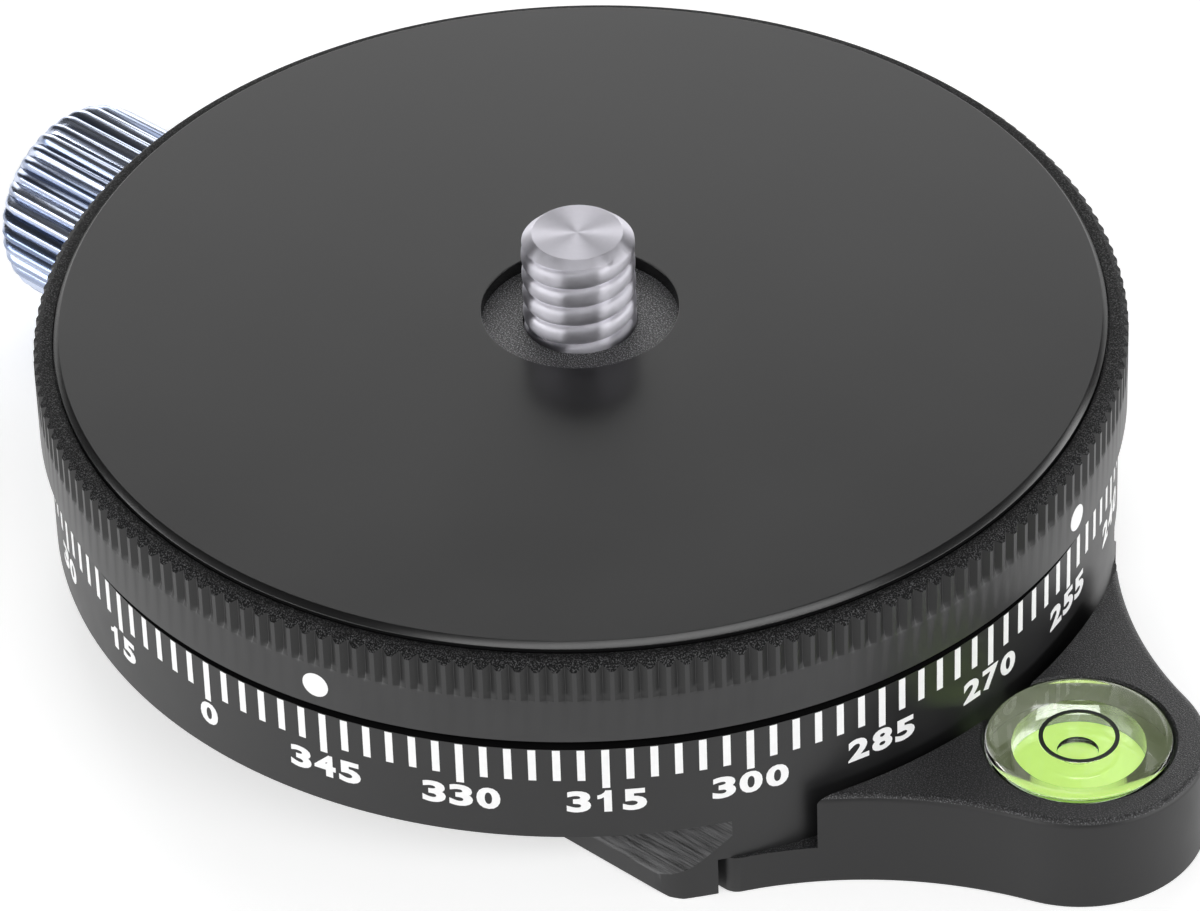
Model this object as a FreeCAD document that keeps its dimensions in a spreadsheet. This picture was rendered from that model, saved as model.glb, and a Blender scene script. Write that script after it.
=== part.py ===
import FreeCAD, Part
import math
import os

import Sketcher

# Panoramic tripod head, in millimetres. The origin is on the pan axis in the bottom face, +Z is up,
# +X points at the round level and -X at the lock knob. The foot is a dovetail that runs along X.
#
# From the bottom up: the base is a round drum on a dovetail foot, with a thread for the tripod in its
# middle boss. A spindle turns round that boss on a bush, between two thrust washers, and a screwed ring
# keeps it in the base. The turntable is screwed to the spindle from above, under the pad, and carries
# the camera stud. The knob's screw pushes a brass shoe against the spindle's rim.

SIZES = {
    # base
    "drum_radius": 30.0,
    "base_height": 11.65,
    "drum_edge": 0.2,
    "foot_height": 5.12,
    "foot_half_width": 19.0,
    "foot_lip": 1.45,
    "flank_depth": 2.65,
    "foot_corner": 3.0,
    "boss_wall": 1.2375,
    "cavity_floor": 3.2,
    "cavity_gap": 0.5,
    "tripod_thread_radius": 4.7625,
    # clearances
    "running_gap": 0.05,
    "washer_gap": 0.1,
    "fit_gap": 0.02,
    "tap_runout": 0.5,
    "overcut": 1.0,
    "flute_overcut": 0.1,
    # reducer from the 3/8" thread to the 1/4" thread
    "reducer_length": 7.6,
    "reducer_room": 0.4,
    "reducer_bore_radius": 2.55,
    "reducer_slot_width": 1.2,
    "reducer_slot_depth": 0.8,
    # bearing and spindle
    "bush_wall": 0.7,
    "bush_set_back": 0.2,
    "washer_height": 0.5,
    "upper_washer_height": 0.4,
    "neck_wall": 4.43,
    "flange_width": 1.8,
    "spigot_height": 1.0,
    "ring_width": 7.8,
    "ring_height": 2.0,
    "ring_screw_margin": 2.3,
    "ring_screw_count": 6,
    "ring_screw_radius": 1.25,
    "ring_screw_length": 4.4,
    # turntable, pad and stud
    "disc_gap": 0.35,
    "disc_overhang": 0.5,
    "disc_height": 5.41,
    "rim_chamfer": 0.64,
    "disc_edge": 0.35,
    "band_height": 3.2,
    "band_depth": 0.2,
    "knurl_depth": 0.3,
    "knurl_count": 192,
    "pad_margin": 1.5,
    "pad_height": 0.8,
    "pad_seat_depth": 0.26,
    "pad_edge": 0.1,
    "pad_hole_radius": 5.5,
    "disc_screw_margin": 2.2,
    "disc_screw_count": 4,
    "disc_screw_radius": 1.5,
    "disc_screw_length": 8.0,
    "stud_radius": 3.175,
    "stud_reach": 6.0,
    "stud_chamfer": 0.7,
    "stud_relief": 0.3,
    "stud_head_radius": 4.5,
    "stud_head_height": 1.2,
    "stud_socket_radius": 2.3,
    "stud_socket_depth": 2.0,
    # countersunk screws
    "screw_sink": 0.05,
    "socket_share": 0.8,
    "socket_depth": 1.1,
    # lock
    "lock_height": 6.4,
    "shoe_radius": 2.1,
    "shoe_length": 6.5,
    "shoe_gap": 0.3,
    "lock_screw_radius": 2.5,
    "lock_tip_length": 2.0,
    "lock_neck_radius": 1.6,
    "lock_neck_length": 2.7,
    "lock_tip_room": 0.6,
    "tip_chamfer": 0.3,
    "stop_pin_radius": 0.75,
    "stop_pin_length": 9.2,
    "stop_pin_lift": 0.3,
    "stop_pin_setback": 0.9,
    "knob_gap": 1.2,
    "knob_radius": 6.0,
    "knob_length": 10.6,
    "knob_end_wall": 1.6,
    "knob_round": 1.7,
    "knob_edge": 0.3,
    "knob_flute_depth": 0.35,
    "knob_flute_count": 38,
    # level bracket
    "slot_length": 12.0,
    "slot_half_width": 16.6,
    "tongue_gap": 0.3,
    "tongue_side_gap": 0.5,
    "tongue_height": 2.5,
    "tongue_corner": 1.0,
    "bracket_gap": 0.4,
    "arm_height": 6.03,
    "arm_edge": 0.45,
    "nose_reach": 5.8,
    "nose_wall": 1.8,
    "flare_radius": 24.2,
    "flare_angle": 71.7,
    "bracket_screw_margin": 4.5,
    "bracket_screw_side": 10.0,
    "bracket_screw_radius": 1.5,
    "bracket_screw_length": 7.0,
    # round level
    "vial_radius": 5.2,
    "vial_height": 4.3,
    "vial_lift": 0.2,
    "vial_base_height": 0.6,
    "vial_edge": 0.4,
    "vial_wall": 1.55,
    "vial_roof": 1.1,
    "vial_ring_radius": 2.2,
    "vial_ring_width": 0.25,
    "vial_ring_depth": 0.12,
}

FULL_TURN = 360
TAU = 2 * math.pi
SOCKET_SIDES = 6
FLUTE_SHARE = 0.38        # half the width of a flute, as a share of the pitch


class Size:
    """A length: its number, and the expression that binds it to the sheet."""

    def __init__(self, number, text):
        self.number = number
        self.text = text

    def _join(self, other, sign, turned=False):
        if not isinstance(other, Size):
            other = Size(other, repr(other))
        left, right = (other, self) if turned else (self, other)
        numbers = {
            "+": left.number + right.number,
            "-": left.number - right.number,
            "*": left.number * right.number,
            "/": left.number / right.number if right.number else 0.0,
        }
        return Size(numbers[sign], "(%s %s %s)" % (left.text, sign, right.text))

    def __add__(self, other):
        return self._join(other, "+")

    def __radd__(self, other):
        return self._join(other, "+", turned=True)

    def __sub__(self, other):
        return self._join(other, "-")

    def __rsub__(self, other):
        return self._join(other, "-", turned=True)

    def __mul__(self, other):
        return self._join(other, "*")

    def __rmul__(self, other):
        return self._join(other, "*", turned=True)

    def __truediv__(self, other):
        return self._join(other, "/")

    def __neg__(self):
        return Size(-self.number, "(0 - %s)" % self.text)


class Sheet:
    """The spreadsheet of driving sizes, each one an attribute named by its alias."""

    def __init__(self, document, sizes):
        cells = document.addObject("Spreadsheet::Sheet", "Sizes")
        for row, (alias, number) in enumerate(sizes.items(), start=1):
            cell = "A%d" % row
            cells.set(cell, str(number))
            cells.setAlias(cell, alias)
            setattr(self, alias, Size(number, "Sizes." + alias))


class Bend:
    """Marks that the next stretch of an outline is an arc, left (counter-clockwise) or right."""

    def __init__(self, radius, left=True):
        self.radius = radius
        self.left = left


doc = FreeCAD.newDocument("panoramic_head")
dim = Sheet(doc, SIZES)
doc.recompute()

GROUND = Size(0.0, "0")     # a piece's own lowest plane

# heights and radii that several pieces share
ring_seat = dim.base_height - dim.ring_height
boss_radius = dim.tripod_thread_radius + dim.boss_wall
boss_top = ring_seat - dim.running_gap
bush_radius = boss_radius + dim.fit_gap + dim.bush_wall
spindle_bore = bush_radius + dim.running_gap
neck_radius = spindle_bore + dim.neck_wall
brake_radius = neck_radius + dim.flange_width
cavity_radius = brake_radius + dim.cavity_gap
ring_radius = neck_radius + dim.ring_width
ring_seat_radius = ring_radius + dim.running_gap
ring_screw_circle = cavity_radius + dim.ring_screw_margin
spindle_foot = dim.cavity_floor + dim.washer_height
shoulder = ring_seat - dim.upper_washer_height - dim.running_gap
disc_radius = dim.drum_radius + dim.disc_overhang
disc_foot = dim.base_height + dim.disc_gap
disc_screw_circle = neck_radius - dim.disc_screw_margin
pad_radius = disc_radius - dim.pad_margin
pad_seat = disc_foot + dim.disc_height - dim.pad_seat_depth
spindle_top = disc_foot + dim.spigot_height
shoe_back = brake_radius + dim.shoe_gap + dim.shoe_length
knob_start = dim.drum_radius + dim.knob_gap
lock_screw_length = knob_start + dim.knob_length - dim.knob_end_wall - shoe_back
bracket_foot = dim.running_gap
slot_depth = bracket_foot + dim.tongue_height
slot_start = dim.drum_radius - dim.slot_length
tongue_half_width = dim.slot_half_width - dim.tongue_side_gap
bracket_screw_inset = slot_start + dim.bracket_screw_margin
nose_centre = dim.drum_radius + dim.nose_reach
nose_radius = dim.vial_radius + dim.nose_wall
vial_pocket_depth = dim.vial_height - dim.vial_lift
vial_foot = bracket_foot + dim.arm_height - vial_pocket_depth


# ---------------------------------------------------------------- helpers

def number_of(amount):
    """The number of a size, or of a plain zero."""
    return amount.number if isinstance(amount, Size) else float(amount)


def new_body(label, x=None, y=None, z=None, turn=None):
    """A body that is one piece of the head, at its place in the assembly."""
    body = doc.addObject("PartDesign::Body", label)
    body.Label = label
    if turn is not None:
        body.Placement = FreeCAD.Placement(FreeCAD.Vector(), turn)
    for axis, amount in (("x", x), ("y", y), ("z", z)):
        if amount is not None:
            body.setExpression("Placement.Base." + axis, amount.text)
    return body


def new_sketch(body, name, role, offset=None):
    """A sketch on one of the body's own origin planes, lifted along its normal by offset."""
    sketch = body.newObject("Sketcher::SketchObject", name)
    plane = [item for item in body.Origin.OriginFeatures if item.Role == role][0]
    sketch.AttachmentSupport = [(plane, "")]
    sketch.MapMode = "FlatFace"
    if offset is not None:
        sketch.setExpression("AttachmentOffset.Base.z", offset.text)
    return sketch


def place_point(sketch, edge, end, x, y):
    """Hold one end of an edge at x, y from the sketch's origin."""
    for kind, amount, axis in (("DistanceX", x, -2), ("DistanceY", y, -1)):
        if isinstance(amount, Size):
            rule = Sketcher.Constraint(kind, -1, 1, edge, end, amount.number)
            index = sketch.addConstraint(rule)
            sketch.setExpression("Constraints[%d]" % index, amount.text)
        elif amount == 0:
            sketch.addConstraint(Sketcher.Constraint("PointOnObject", edge, end, axis))
        else:
            raise ValueError("a coordinate is a size or zero")


def hold_radius(sketch, edge, radius):
    """Bind the radius of a circle or an arc to a size."""
    index = sketch.addConstraint(Sketcher.Constraint("Radius", edge, radius.number))
    sketch.setExpression("Constraints[%d]" % index, radius.text)


def arc_between(start, stop, bend):
    """The arc from start to stop, always stored counter-clockwise."""
    if not bend.left:
        start, stop = stop, start
    radius = bend.radius.number
    chord = stop - start
    half = chord.Length / 2
    rise = math.sqrt(max(radius * radius - half * half, 0))
    across = FreeCAD.Vector(-chord.y, chord.x, 0).normalize()
    centre = (start + stop) / 2 + across * rise
    first = math.atan2(start.y - centre.y, start.x - centre.x)
    last = math.atan2(stop.y - centre.y, stop.x - centre.x)
    circle = Part.Circle(centre, FreeCAD.Vector(0, 0, 1), radius)
    return Part.ArcOfCircle(circle, first, last if last > first else last + TAU)


def trace(sketch, path):
    """Draw a closed outline through corners (x, y); a Bend after a corner makes the next edge an arc."""
    corners = []
    bends = {}
    for item in path:
        if isinstance(item, Bend):
            bends[len(corners) - 1] = item
        else:
            corners.append(item)
    points = [FreeCAD.Vector(number_of(x), number_of(y), 0) for x, y in corners]
    edges = []
    for index, start in enumerate(points):
        stop = points[(index + 1) % len(points)]
        bend = bends.get(index)
        if bend is None:
            edges.append((sketch.addGeometry(Part.LineSegment(start, stop), False), 1, 2))
            continue
        edge = sketch.addGeometry(arc_between(start, stop, bend), False)
        edges.append((edge, 1, 2) if bend.left else (edge, 2, 1))
    for index, (edge, _, end) in enumerate(edges):
        after, begin, _ = edges[(index + 1) % len(edges)]
        sketch.addConstraint(Sketcher.Constraint("Coincident", edge, end, after, begin))
    for (edge, begin, _), (x, y) in zip(edges, corners):
        place_point(sketch, edge, begin, x, y)
    for index, bend in bends.items():
        hold_radius(sketch, edges[index][0], bend.radius)


def circle(sketch, radius, x=0, y=0):
    """Draw a circle with its centre at x, y."""
    middle = FreeCAD.Vector(number_of(x), number_of(y), 0)
    edge = sketch.addGeometry(Part.Circle(middle, FreeCAD.Vector(0, 0, 1), number_of(radius)), False)
    if x == 0 and y == 0:
        sketch.addConstraint(Sketcher.Constraint("Coincident", edge, 3, -1, 1))
    else:
        place_point(sketch, edge, 3, x, y)
    hold_radius(sketch, edge, radius)


def settle(body, feature, adds):
    """Recompute, and check that the feature added or removed material."""
    previous = feature.BaseFeature.Shape.Volume if feature.BaseFeature else 0.0
    body.Tip = feature
    doc.recompute()
    change = feature.Shape.Volume - previous
    if (adds and change <= 0) or (not adds and change >= 0):
        raise RuntimeError("%s in %s changed the volume by %.4f" % (feature.Name, body.Label, change))
    return feature


def pad(body, sketch, length):
    """Raise a sketch by this length along its normal."""
    feature = body.newObject("PartDesign::Pad", "Pad")
    feature.Profile = sketch
    feature.setExpression("Length", length.text)
    return settle(body, feature, adds=True)


def pocket(body, sketch, length, upward=False, both_ways=False):
    """Cut a sketch into the body, against its normal, along it (upward) or both ways."""
    feature = body.newObject("PartDesign::Pocket", "Pocket")
    feature.Profile = sketch
    feature.Reversed = upward
    feature.Midplane = both_ways
    feature.setExpression("Length", length.text)
    return settle(body, feature, adds=False)


def revolve(body, path):
    """Turn an outline of (radius, height) corners round the piece's own Z axis."""
    sketch = new_sketch(body, "Profile", "XZ_Plane")
    trace(sketch, path)
    feature = body.newObject("PartDesign::Revolution", "Revolution")
    feature.Profile = sketch
    feature.ReferenceAxis = (sketch, ["V_Axis"])
    feature.Angle = FULL_TURN
    return settle(body, feature, adds=True)


def groove(body, path):
    """Cut an outline of (radius, height) corners out of the piece, all round."""
    sketch = new_sketch(body, "GrooveProfile", "XZ_Plane")
    trace(sketch, path)
    feature = body.newObject("PartDesign::Groove", "Groove")
    feature.Profile = sketch
    feature.ReferenceAxis = (sketch, ["V_Axis"])
    feature.Angle = FULL_TURN
    return settle(body, feature, adds=False)


def repeat_round(body, feature, count):
    """Repeat a cut all round the piece's Z axis."""
    pattern = body.newObject("PartDesign::PolarPattern", "PolarPattern")
    pattern.Originals = [feature]
    axis = [item for item in body.Origin.OriginFeatures if item.Role == "Z_Axis"][0]
    pattern.Axis = (axis, [""])
    pattern.Angle = FULL_TURN
    pattern.setExpression("Occurrences", count.text)
    body.Tip = pattern
    doc.recompute()
    return pattern


def dress(body, kind, amount, chosen):
    """Chamfer or fillet the edges of the body that chosen() picks."""
    base = body.Tip
    names = ["Edge%d" % (number + 1) for number, edge in enumerate(base.Shape.Edges) if chosen(edge)]
    if not names:
        raise RuntimeError("no edge to %s on %s" % (kind, body.Label))
    feature = body.newObject("PartDesign::" + kind, kind)
    feature.Base = (base, names)
    feature.setExpression("Size" if kind == "Chamfer" else "Radius", amount.text)
    body.Tip = feature
    doc.recompute()
    return feature


NEAR = 1e-4     # how close two lengths are when they count as the same


def is_rim(edge, radius, height):
    """True for a full circle of this radius at this height."""
    if not isinstance(edge.Curve, Part.Circle) or len(edge.Vertexes) > 1:
        return False
    same_radius = abs(edge.Curve.Radius - radius.number) < NEAR
    return same_radius and abs(edge.Curve.Center.z - height.number) < NEAR


def is_upright(edge):
    """True for a straight edge parallel to Z."""
    if not isinstance(edge.Curve, Part.Line):
        return False
    return abs(abs(edge.Curve.Direction.z) - 1) < NEAR


def polygon(radius, sides):
    """Corners of a regular polygon with its corners at this radius, one flat side facing +X."""
    step = TAU / sides
    return [(radius * math.cos(step * (side + 0.5)), radius * math.sin(step * (side + 0.5)))
            for side in range(sides)]


def tube(label, inner, outer, height, z):
    """A plain ring: a washer, a bush or a band."""
    body = new_body(label, z=z)
    revolve(body, [(inner, 0), (outer, 0), (outer, height), (inner, height)])
    return body


def countersunk_screw(name, radius, length):
    """The pattern of a countersunk screw, head up, the head's top at z = 0."""
    head = radius * 2 - dim.screw_sink
    cone = head - radius
    body = new_body(name)
    revolve(body, [(0, 0), (head, 0), (radius, -cone), (radius, -length), (0, -length)])
    socket = new_sketch(body, "Socket", "XY_Plane")
    trace(socket, polygon(radius * dim.socket_share, SOCKET_SIDES))
    pocket(body, socket, dim.socket_depth)
    return body


def screw_hole(body, name, places, radius, depth, plane_height, upward=False):
    """One or more round holes cut from a level plane."""
    sketch = new_sketch(body, name, "XY_Plane", plane_height)
    for x, y in places:
        circle(sketch, radius, x, y)
    return pocket(body, sketch, depth, upward=upward)


def group(label, pattern, places, turn=None):
    """One node that holds a copy of the pattern at each place (x, y, z)."""
    copies = []
    for x, y, z in places:
        copy = doc.addObject("App::Link", label + "_copy")
        copy.LinkedObject = pattern
        copy.LinkTransform = False
        if turn is not None:
            copy.Placement = FreeCAD.Placement(FreeCAD.Vector(), turn)
        for axis, amount in (("x", x), ("y", y), ("z", z)):
            copy.setExpression("Placement.Base." + axis, amount.text)
        copies.append(copy)
    compound = doc.addObject("Part::Compound", label)
    compound.Label = label
    compound.Links = copies
    doc.recompute()
    return compound


def on_circle(radius, count, first_angle):
    """Places round the pan axis, the first one at first_angle in degrees."""
    places = []
    for index in range(count):
        angle = math.radians(first_angle) + TAU * index / count
        places.append((radius * math.cos(angle), radius * math.sin(angle)))
    return places


# ---------------------------------------------------------------- base

RING_SCREW_START = 30     # degrees: keeps the ring's screws clear of the lock bore
DISC_SCREW_START = 45


def dovetail_flank(side):
    """The outline cut away beside the foot, in the plane across it; side is 1 or -1."""
    edge = dim.foot_half_width
    neck = edge - dim.flank_depth
    beyond = dim.drum_radius + dim.overcut
    top = dim.foot_lip + dim.flank_depth
    corners = [(edge, dim.foot_lip), (beyond, dim.foot_lip), (beyond, dim.foot_height),
               (neck, dim.foot_height), (neck, top)]
    return [(y * side, z) for y, z in corners]


def make_base_body():
    """Drum and dovetail foot in one, with the cavity for the spindle and the bores for the lock."""
    body = new_body("base_body")
    foot = new_sketch(body, "FootDisc", "XY_Plane")
    circle(foot, dim.drum_radius)
    pad(body, foot, dim.foot_height)

    sides = new_sketch(body, "FootSides", "XY_Plane")
    beyond = dim.drum_radius + dim.overcut
    for side in (1, -1):
        near, far = dim.foot_half_width * side, beyond * side
        trace(sides, [(-beyond, near), (beyond, near), (beyond, far), (-beyond, far)])
    pocket(body, sides, dim.foot_height * 2 + dim.overcut, both_ways=True)
    dress(body, "Fillet", dim.foot_corner, is_upright)

    flanks = new_sketch(body, "Flanks", "YZ_Plane")
    for side in (1, -1):
        trace(flanks, dovetail_flank(side))
    pocket(body, flanks, beyond * 2, both_ways=True)

    drum = new_sketch(body, "Drum", "XY_Plane", dim.foot_height)
    circle(drum, dim.drum_radius)
    pad(body, drum, dim.base_height - dim.foot_height)
    dress(body, "Chamfer", dim.drum_edge,
          lambda edge: is_rim(edge, dim.drum_radius, dim.base_height))

    above = dim.base_height + dim.overcut
    groove(body, [(boss_radius, dim.cavity_floor), (cavity_radius, dim.cavity_floor),
                  (cavity_radius, ring_seat), (ring_seat_radius, ring_seat),
                  (ring_seat_radius, above), (0, above), (0, boss_top),
                  (boss_radius, boss_top)])

    thread = new_sketch(body, "TripodThread", "XY_Plane")
    circle(thread, dim.tripod_thread_radius)
    pocket(body, thread, dim.reducer_length + dim.reducer_room, upward=True)

    slot = new_sketch(body, "BracketSlot", "XY_Plane")
    wide = dim.slot_half_width
    trace(slot, [(slot_start, -wide), (beyond, -wide), (beyond, wide), (slot_start, wide)])
    pocket(body, slot, slot_depth, upward=True)

    shoe_bore = new_sketch(body, "ShoeBore", "YZ_Plane", -(cavity_radius - dim.overcut))
    circle(shoe_bore, dim.shoe_radius + dim.running_gap, 0, dim.lock_height)
    pocket(body, shoe_bore, dim.drum_radius)
    screw_bore = new_sketch(body, "LockScrewBore", "YZ_Plane", -(shoe_back - dim.lock_tip_room))
    circle(screw_bore, dim.lock_screw_radius + dim.running_gap, 0, dim.lock_height)
    pocket(body, screw_bore, dim.drum_radius)
    screw_hole(body, "StopPinBore", [stop_pin_place()], dim.stop_pin_radius + dim.fit_gap,
               dim.stop_pin_lift + dim.stop_pin_length, GROUND, upward=True)

    ring_hole = screw_hole(body, "RingScrewHole",
                           on_circle(ring_screw_circle, 1, RING_SCREW_START),
                           dim.ring_screw_radius + dim.fit_gap,
                           dim.ring_screw_length - dim.ring_height + dim.tap_runout, ring_seat)
    repeat_round(body, ring_hole, dim.ring_screw_count)
    screw_hole(body, "BracketScrewHoles",
               [(bracket_screw_inset, dim.bracket_screw_side),
                (bracket_screw_inset, -dim.bracket_screw_side)],
               dim.bracket_screw_radius + dim.fit_gap,
               dim.bracket_screw_length - dim.tongue_height + dim.tap_runout,
               slot_depth, upward=True)
    return body


def make_thread_reducer():
    """Bush that takes the 3/8" tripod thread down to 1/4", with a slot for a screwdriver."""
    body = new_body("thread_reducer")
    outer = dim.tripod_thread_radius - dim.fit_gap
    bore = dim.reducer_bore_radius
    revolve(body, [(bore, 0), (outer, 0), (outer, dim.reducer_length), (bore, dim.reducer_length)])
    slot = new_sketch(body, "Slot", "XY_Plane")
    half, beyond = dim.reducer_slot_width / 2, outer + dim.overcut
    trace(slot, [(-beyond, -half), (beyond, -half), (beyond, half), (-beyond, half)])
    pocket(body, slot, dim.reducer_slot_depth, upward=True)
    return body


def make_bearing():
    """Bush, both thrust washers and the ring that keeps the spindle in the base."""
    bush_height = boss_top - dim.bush_set_back - dim.cavity_floor
    tube("sleeve_bush", boss_radius + dim.fit_gap, bush_radius, bush_height, dim.cavity_floor)
    tube("lower_washer", bush_radius + dim.washer_gap, brake_radius - dim.washer_gap,
         dim.washer_height, dim.cavity_floor)
    tube("upper_washer", neck_radius + dim.washer_gap, cavity_radius - dim.washer_gap,
         dim.upper_washer_height, ring_seat - dim.upper_washer_height)

    ring = tube("retaining_ring", neck_radius + dim.washer_gap, ring_radius,
                dim.ring_height, ring_seat)
    bore = dim.ring_screw_radius + dim.washer_gap
    hole = screw_hole(ring, "ScrewHole", on_circle(ring_screw_circle, 1, RING_SCREW_START),
                      bore, dim.ring_height, dim.ring_height)
    repeat_round(ring, hole, dim.ring_screw_count)
    dress(ring, "Chamfer", dim.ring_screw_radius,
          lambda edge: is_rim(edge, bore, dim.ring_height))

    screw = countersunk_screw("ring_screw_pattern", dim.ring_screw_radius, dim.ring_screw_length)
    height = dim.base_height - dim.screw_sink
    places = on_circle(ring_screw_circle, dim.ring_screw_count.number, RING_SCREW_START)
    group("ring_screws", screw, [(x, y, height) for x, y in places])


# ---------------------------------------------------------------- turning pieces

def make_spindle():
    """Steel hub: its wide rim is what the shoe brakes, its neck carries the turntable."""
    body = new_body("spindle", z=spindle_foot)
    rim_height = shoulder - spindle_foot
    height = spindle_top - spindle_foot
    revolve(body, [(spindle_bore, 0), (brake_radius, 0), (brake_radius, rim_height),
                   (neck_radius, rim_height), (neck_radius, height),
                   (spindle_bore, height)])
    depth = dim.disc_screw_length - (pad_seat - spindle_top) + dim.tap_runout
    hole = screw_hole(body, "ScrewHole", on_circle(disc_screw_circle, 1, DISC_SCREW_START),
                      dim.disc_screw_radius + dim.fit_gap, depth, height)
    repeat_round(body, hole, dim.disc_screw_count)
    return body


def make_turntable():
    """Knurled disc with the seat of the pad above and the spindle's recess below."""
    body = new_body("turntable", z=disc_foot)
    top = dim.disc_height
    seat = top - dim.pad_seat_depth
    pad_wall = pad_radius + dim.running_gap
    crest = disc_radius
    band = crest - dim.band_depth
    recess = neck_radius + dim.running_gap
    head = dim.stud_head_radius + dim.running_gap
    bore = dim.stud_radius + dim.fit_gap
    head_top = dim.spigot_height + dim.stud_head_height
    revolve(body, [(recess, 0), (band - dim.disc_edge, 0), (band, dim.disc_edge),
                   (band, dim.band_height), (crest, dim.band_height), (crest, top - dim.rim_chamfer),
                   (crest - dim.rim_chamfer, top), (pad_wall, top), (pad_wall, seat), (bore, seat),
                   (bore, head_top), (head, head_top), (head, dim.spigot_height),
                   (recess, dim.spigot_height)])

    bore = dim.disc_screw_radius + dim.washer_gap
    hole = screw_hole(body, "ScrewHole", on_circle(disc_screw_circle, 1, DISC_SCREW_START),
                      bore, seat, seat)
    repeat_round(body, hole, dim.disc_screw_count)
    dress(body, "Chamfer", dim.disc_screw_radius,
          lambda edge: is_rim(edge, bore, seat))

    cut_flutes(body, crest, dim.knurl_depth, dim.knurl_count, dim.band_height, top)
    return body


def cut_flutes(body, crest, depth, count, low, high):
    """Straight knurling: V grooves all round, from one height up past another."""
    half = crest * TAU / count * FLUTE_SHARE
    beyond = crest + dim.flute_overcut
    wide = half * (depth + dim.flute_overcut) / depth
    flute = new_sketch(body, "Flute", "XY_Plane", low)
    trace(flute, [(crest - depth, 0), (beyond, -wide), (beyond, wide)])
    cut = pocket(body, flute, high - low + dim.overcut, upward=True)
    repeat_round(body, cut, count)


def make_top_pad():
    """Rubber pad under the camera, its edges just broken."""
    body = new_body("top_pad", z=pad_seat)
    inner, outer, top, edge = dim.pad_hole_radius, pad_radius, dim.pad_height, dim.pad_edge
    revolve(body, [(inner, 0), (outer, 0), (outer, top - edge), (outer - edge, top),
                   (inner + edge, top), (inner, top - edge)])
    return body


def make_camera_stud():
    """1/4"-20 stud, screwed up from below until its head seats, with a relief inside the pad."""
    body = new_body("camera_stud", z=spindle_top)
    radius, head = dim.stud_radius, dim.stud_head_radius
    top = pad_seat + dim.stud_reach - spindle_top
    tip = radius - dim.stud_chamfer
    relief = radius - dim.stud_relief
    relief_low = pad_seat - spindle_top
    relief_high = relief_low + dim.pad_height
    revolve(body, [(0, 0), (head, 0), (head, dim.stud_head_height), (radius, dim.stud_head_height),
                   (radius, relief_low), (relief, relief_low), (relief, relief_high),
                   (radius, relief_high), (radius, top - dim.stud_chamfer), (tip, top), (0, top)])
    socket = new_sketch(body, "Socket", "XY_Plane")
    trace(socket, polygon(dim.stud_socket_radius, SOCKET_SIDES))
    pocket(body, socket, dim.stud_socket_depth, upward=True)
    return body


def make_turntable_screws():
    """The screws under the pad that hold the turntable on its spindle."""
    screw = countersunk_screw("disc_screw_pattern", dim.disc_screw_radius, dim.disc_screw_length)
    height = pad_seat - dim.screw_sink
    places = on_circle(disc_screw_circle, dim.disc_screw_count.number, DISC_SCREW_START)
    group("turntable_screws", screw, [(x, y, height) for x, y in places])


# ---------------------------------------------------------------- lock

# A piece that is turned round Z in its own frame lies along -X in the head.
OUTWARD = FreeCAD.Rotation(FreeCAD.Vector(0, 1, 0), -90)


def stop_pin_place():
    """Where the stop pin stands: beside the lock screw's neck."""
    back = shoe_back + dim.lock_tip_length + dim.stop_pin_setback + dim.stop_pin_radius
    side = dim.lock_neck_radius + dim.stop_pin_radius + dim.running_gap
    return (-back, side)


def make_lock_shoe():
    """Brass plug with a hollow front that fits round the spindle's rim."""
    rod = doc.addObject("Part::Cylinder", "ShoeRod")
    rod.Placement = FreeCAD.Placement(FreeCAD.Vector(), OUTWARD)
    rod.setExpression("Radius", dim.shoe_radius.text)
    rod.setExpression("Height", shoe_back.text)
    rod.setExpression("Placement.Base.z", dim.lock_height.text)
    rim = doc.addObject("Part::Cylinder", "ShoeHollow")
    rim.setExpression("Radius", (brake_radius + dim.shoe_gap).text)
    rim.setExpression("Height", (dim.lock_height * 2).text)
    shoe = doc.addObject("Part::Cut", "lock_shoe")
    shoe.Label = "lock_shoe"
    shoe.Base = rod
    shoe.Tool = rim
    doc.recompute()
    return shoe


def make_lock_screw():
    """M5 screw: its tip pushes the shoe, and its neck runs past the stop pin."""
    body = new_body("lock_screw", x=-shoe_back, z=dim.lock_height, turn=OUTWARD)
    radius, neck = dim.lock_screw_radius, dim.lock_neck_radius
    neck_low = dim.lock_tip_length
    neck_high = neck_low + dim.lock_neck_length
    revolve(body, [(0, 0), (radius - dim.tip_chamfer, 0), (radius, dim.tip_chamfer),
                   (radius, neck_low), (neck, neck_low), (neck, neck_high), (radius, neck_high),
                   (radius, lock_screw_length), (0, lock_screw_length)])
    return body


def make_stop_pin():
    """Dowel, pressed in from below, that keeps the lock screw from coming out."""
    pin = doc.addObject("Part::Cylinder", "stop_pin")
    pin.Label = "stop_pin"
    pin.setExpression("Radius", dim.stop_pin_radius.text)
    pin.setExpression("Height", dim.stop_pin_length.text)
    x, y = stop_pin_place()
    for axis, amount in (("x", x), ("y", y), ("z", dim.stop_pin_lift)):
        pin.setExpression("Placement.Base." + axis, amount.text)
    return pin


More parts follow.
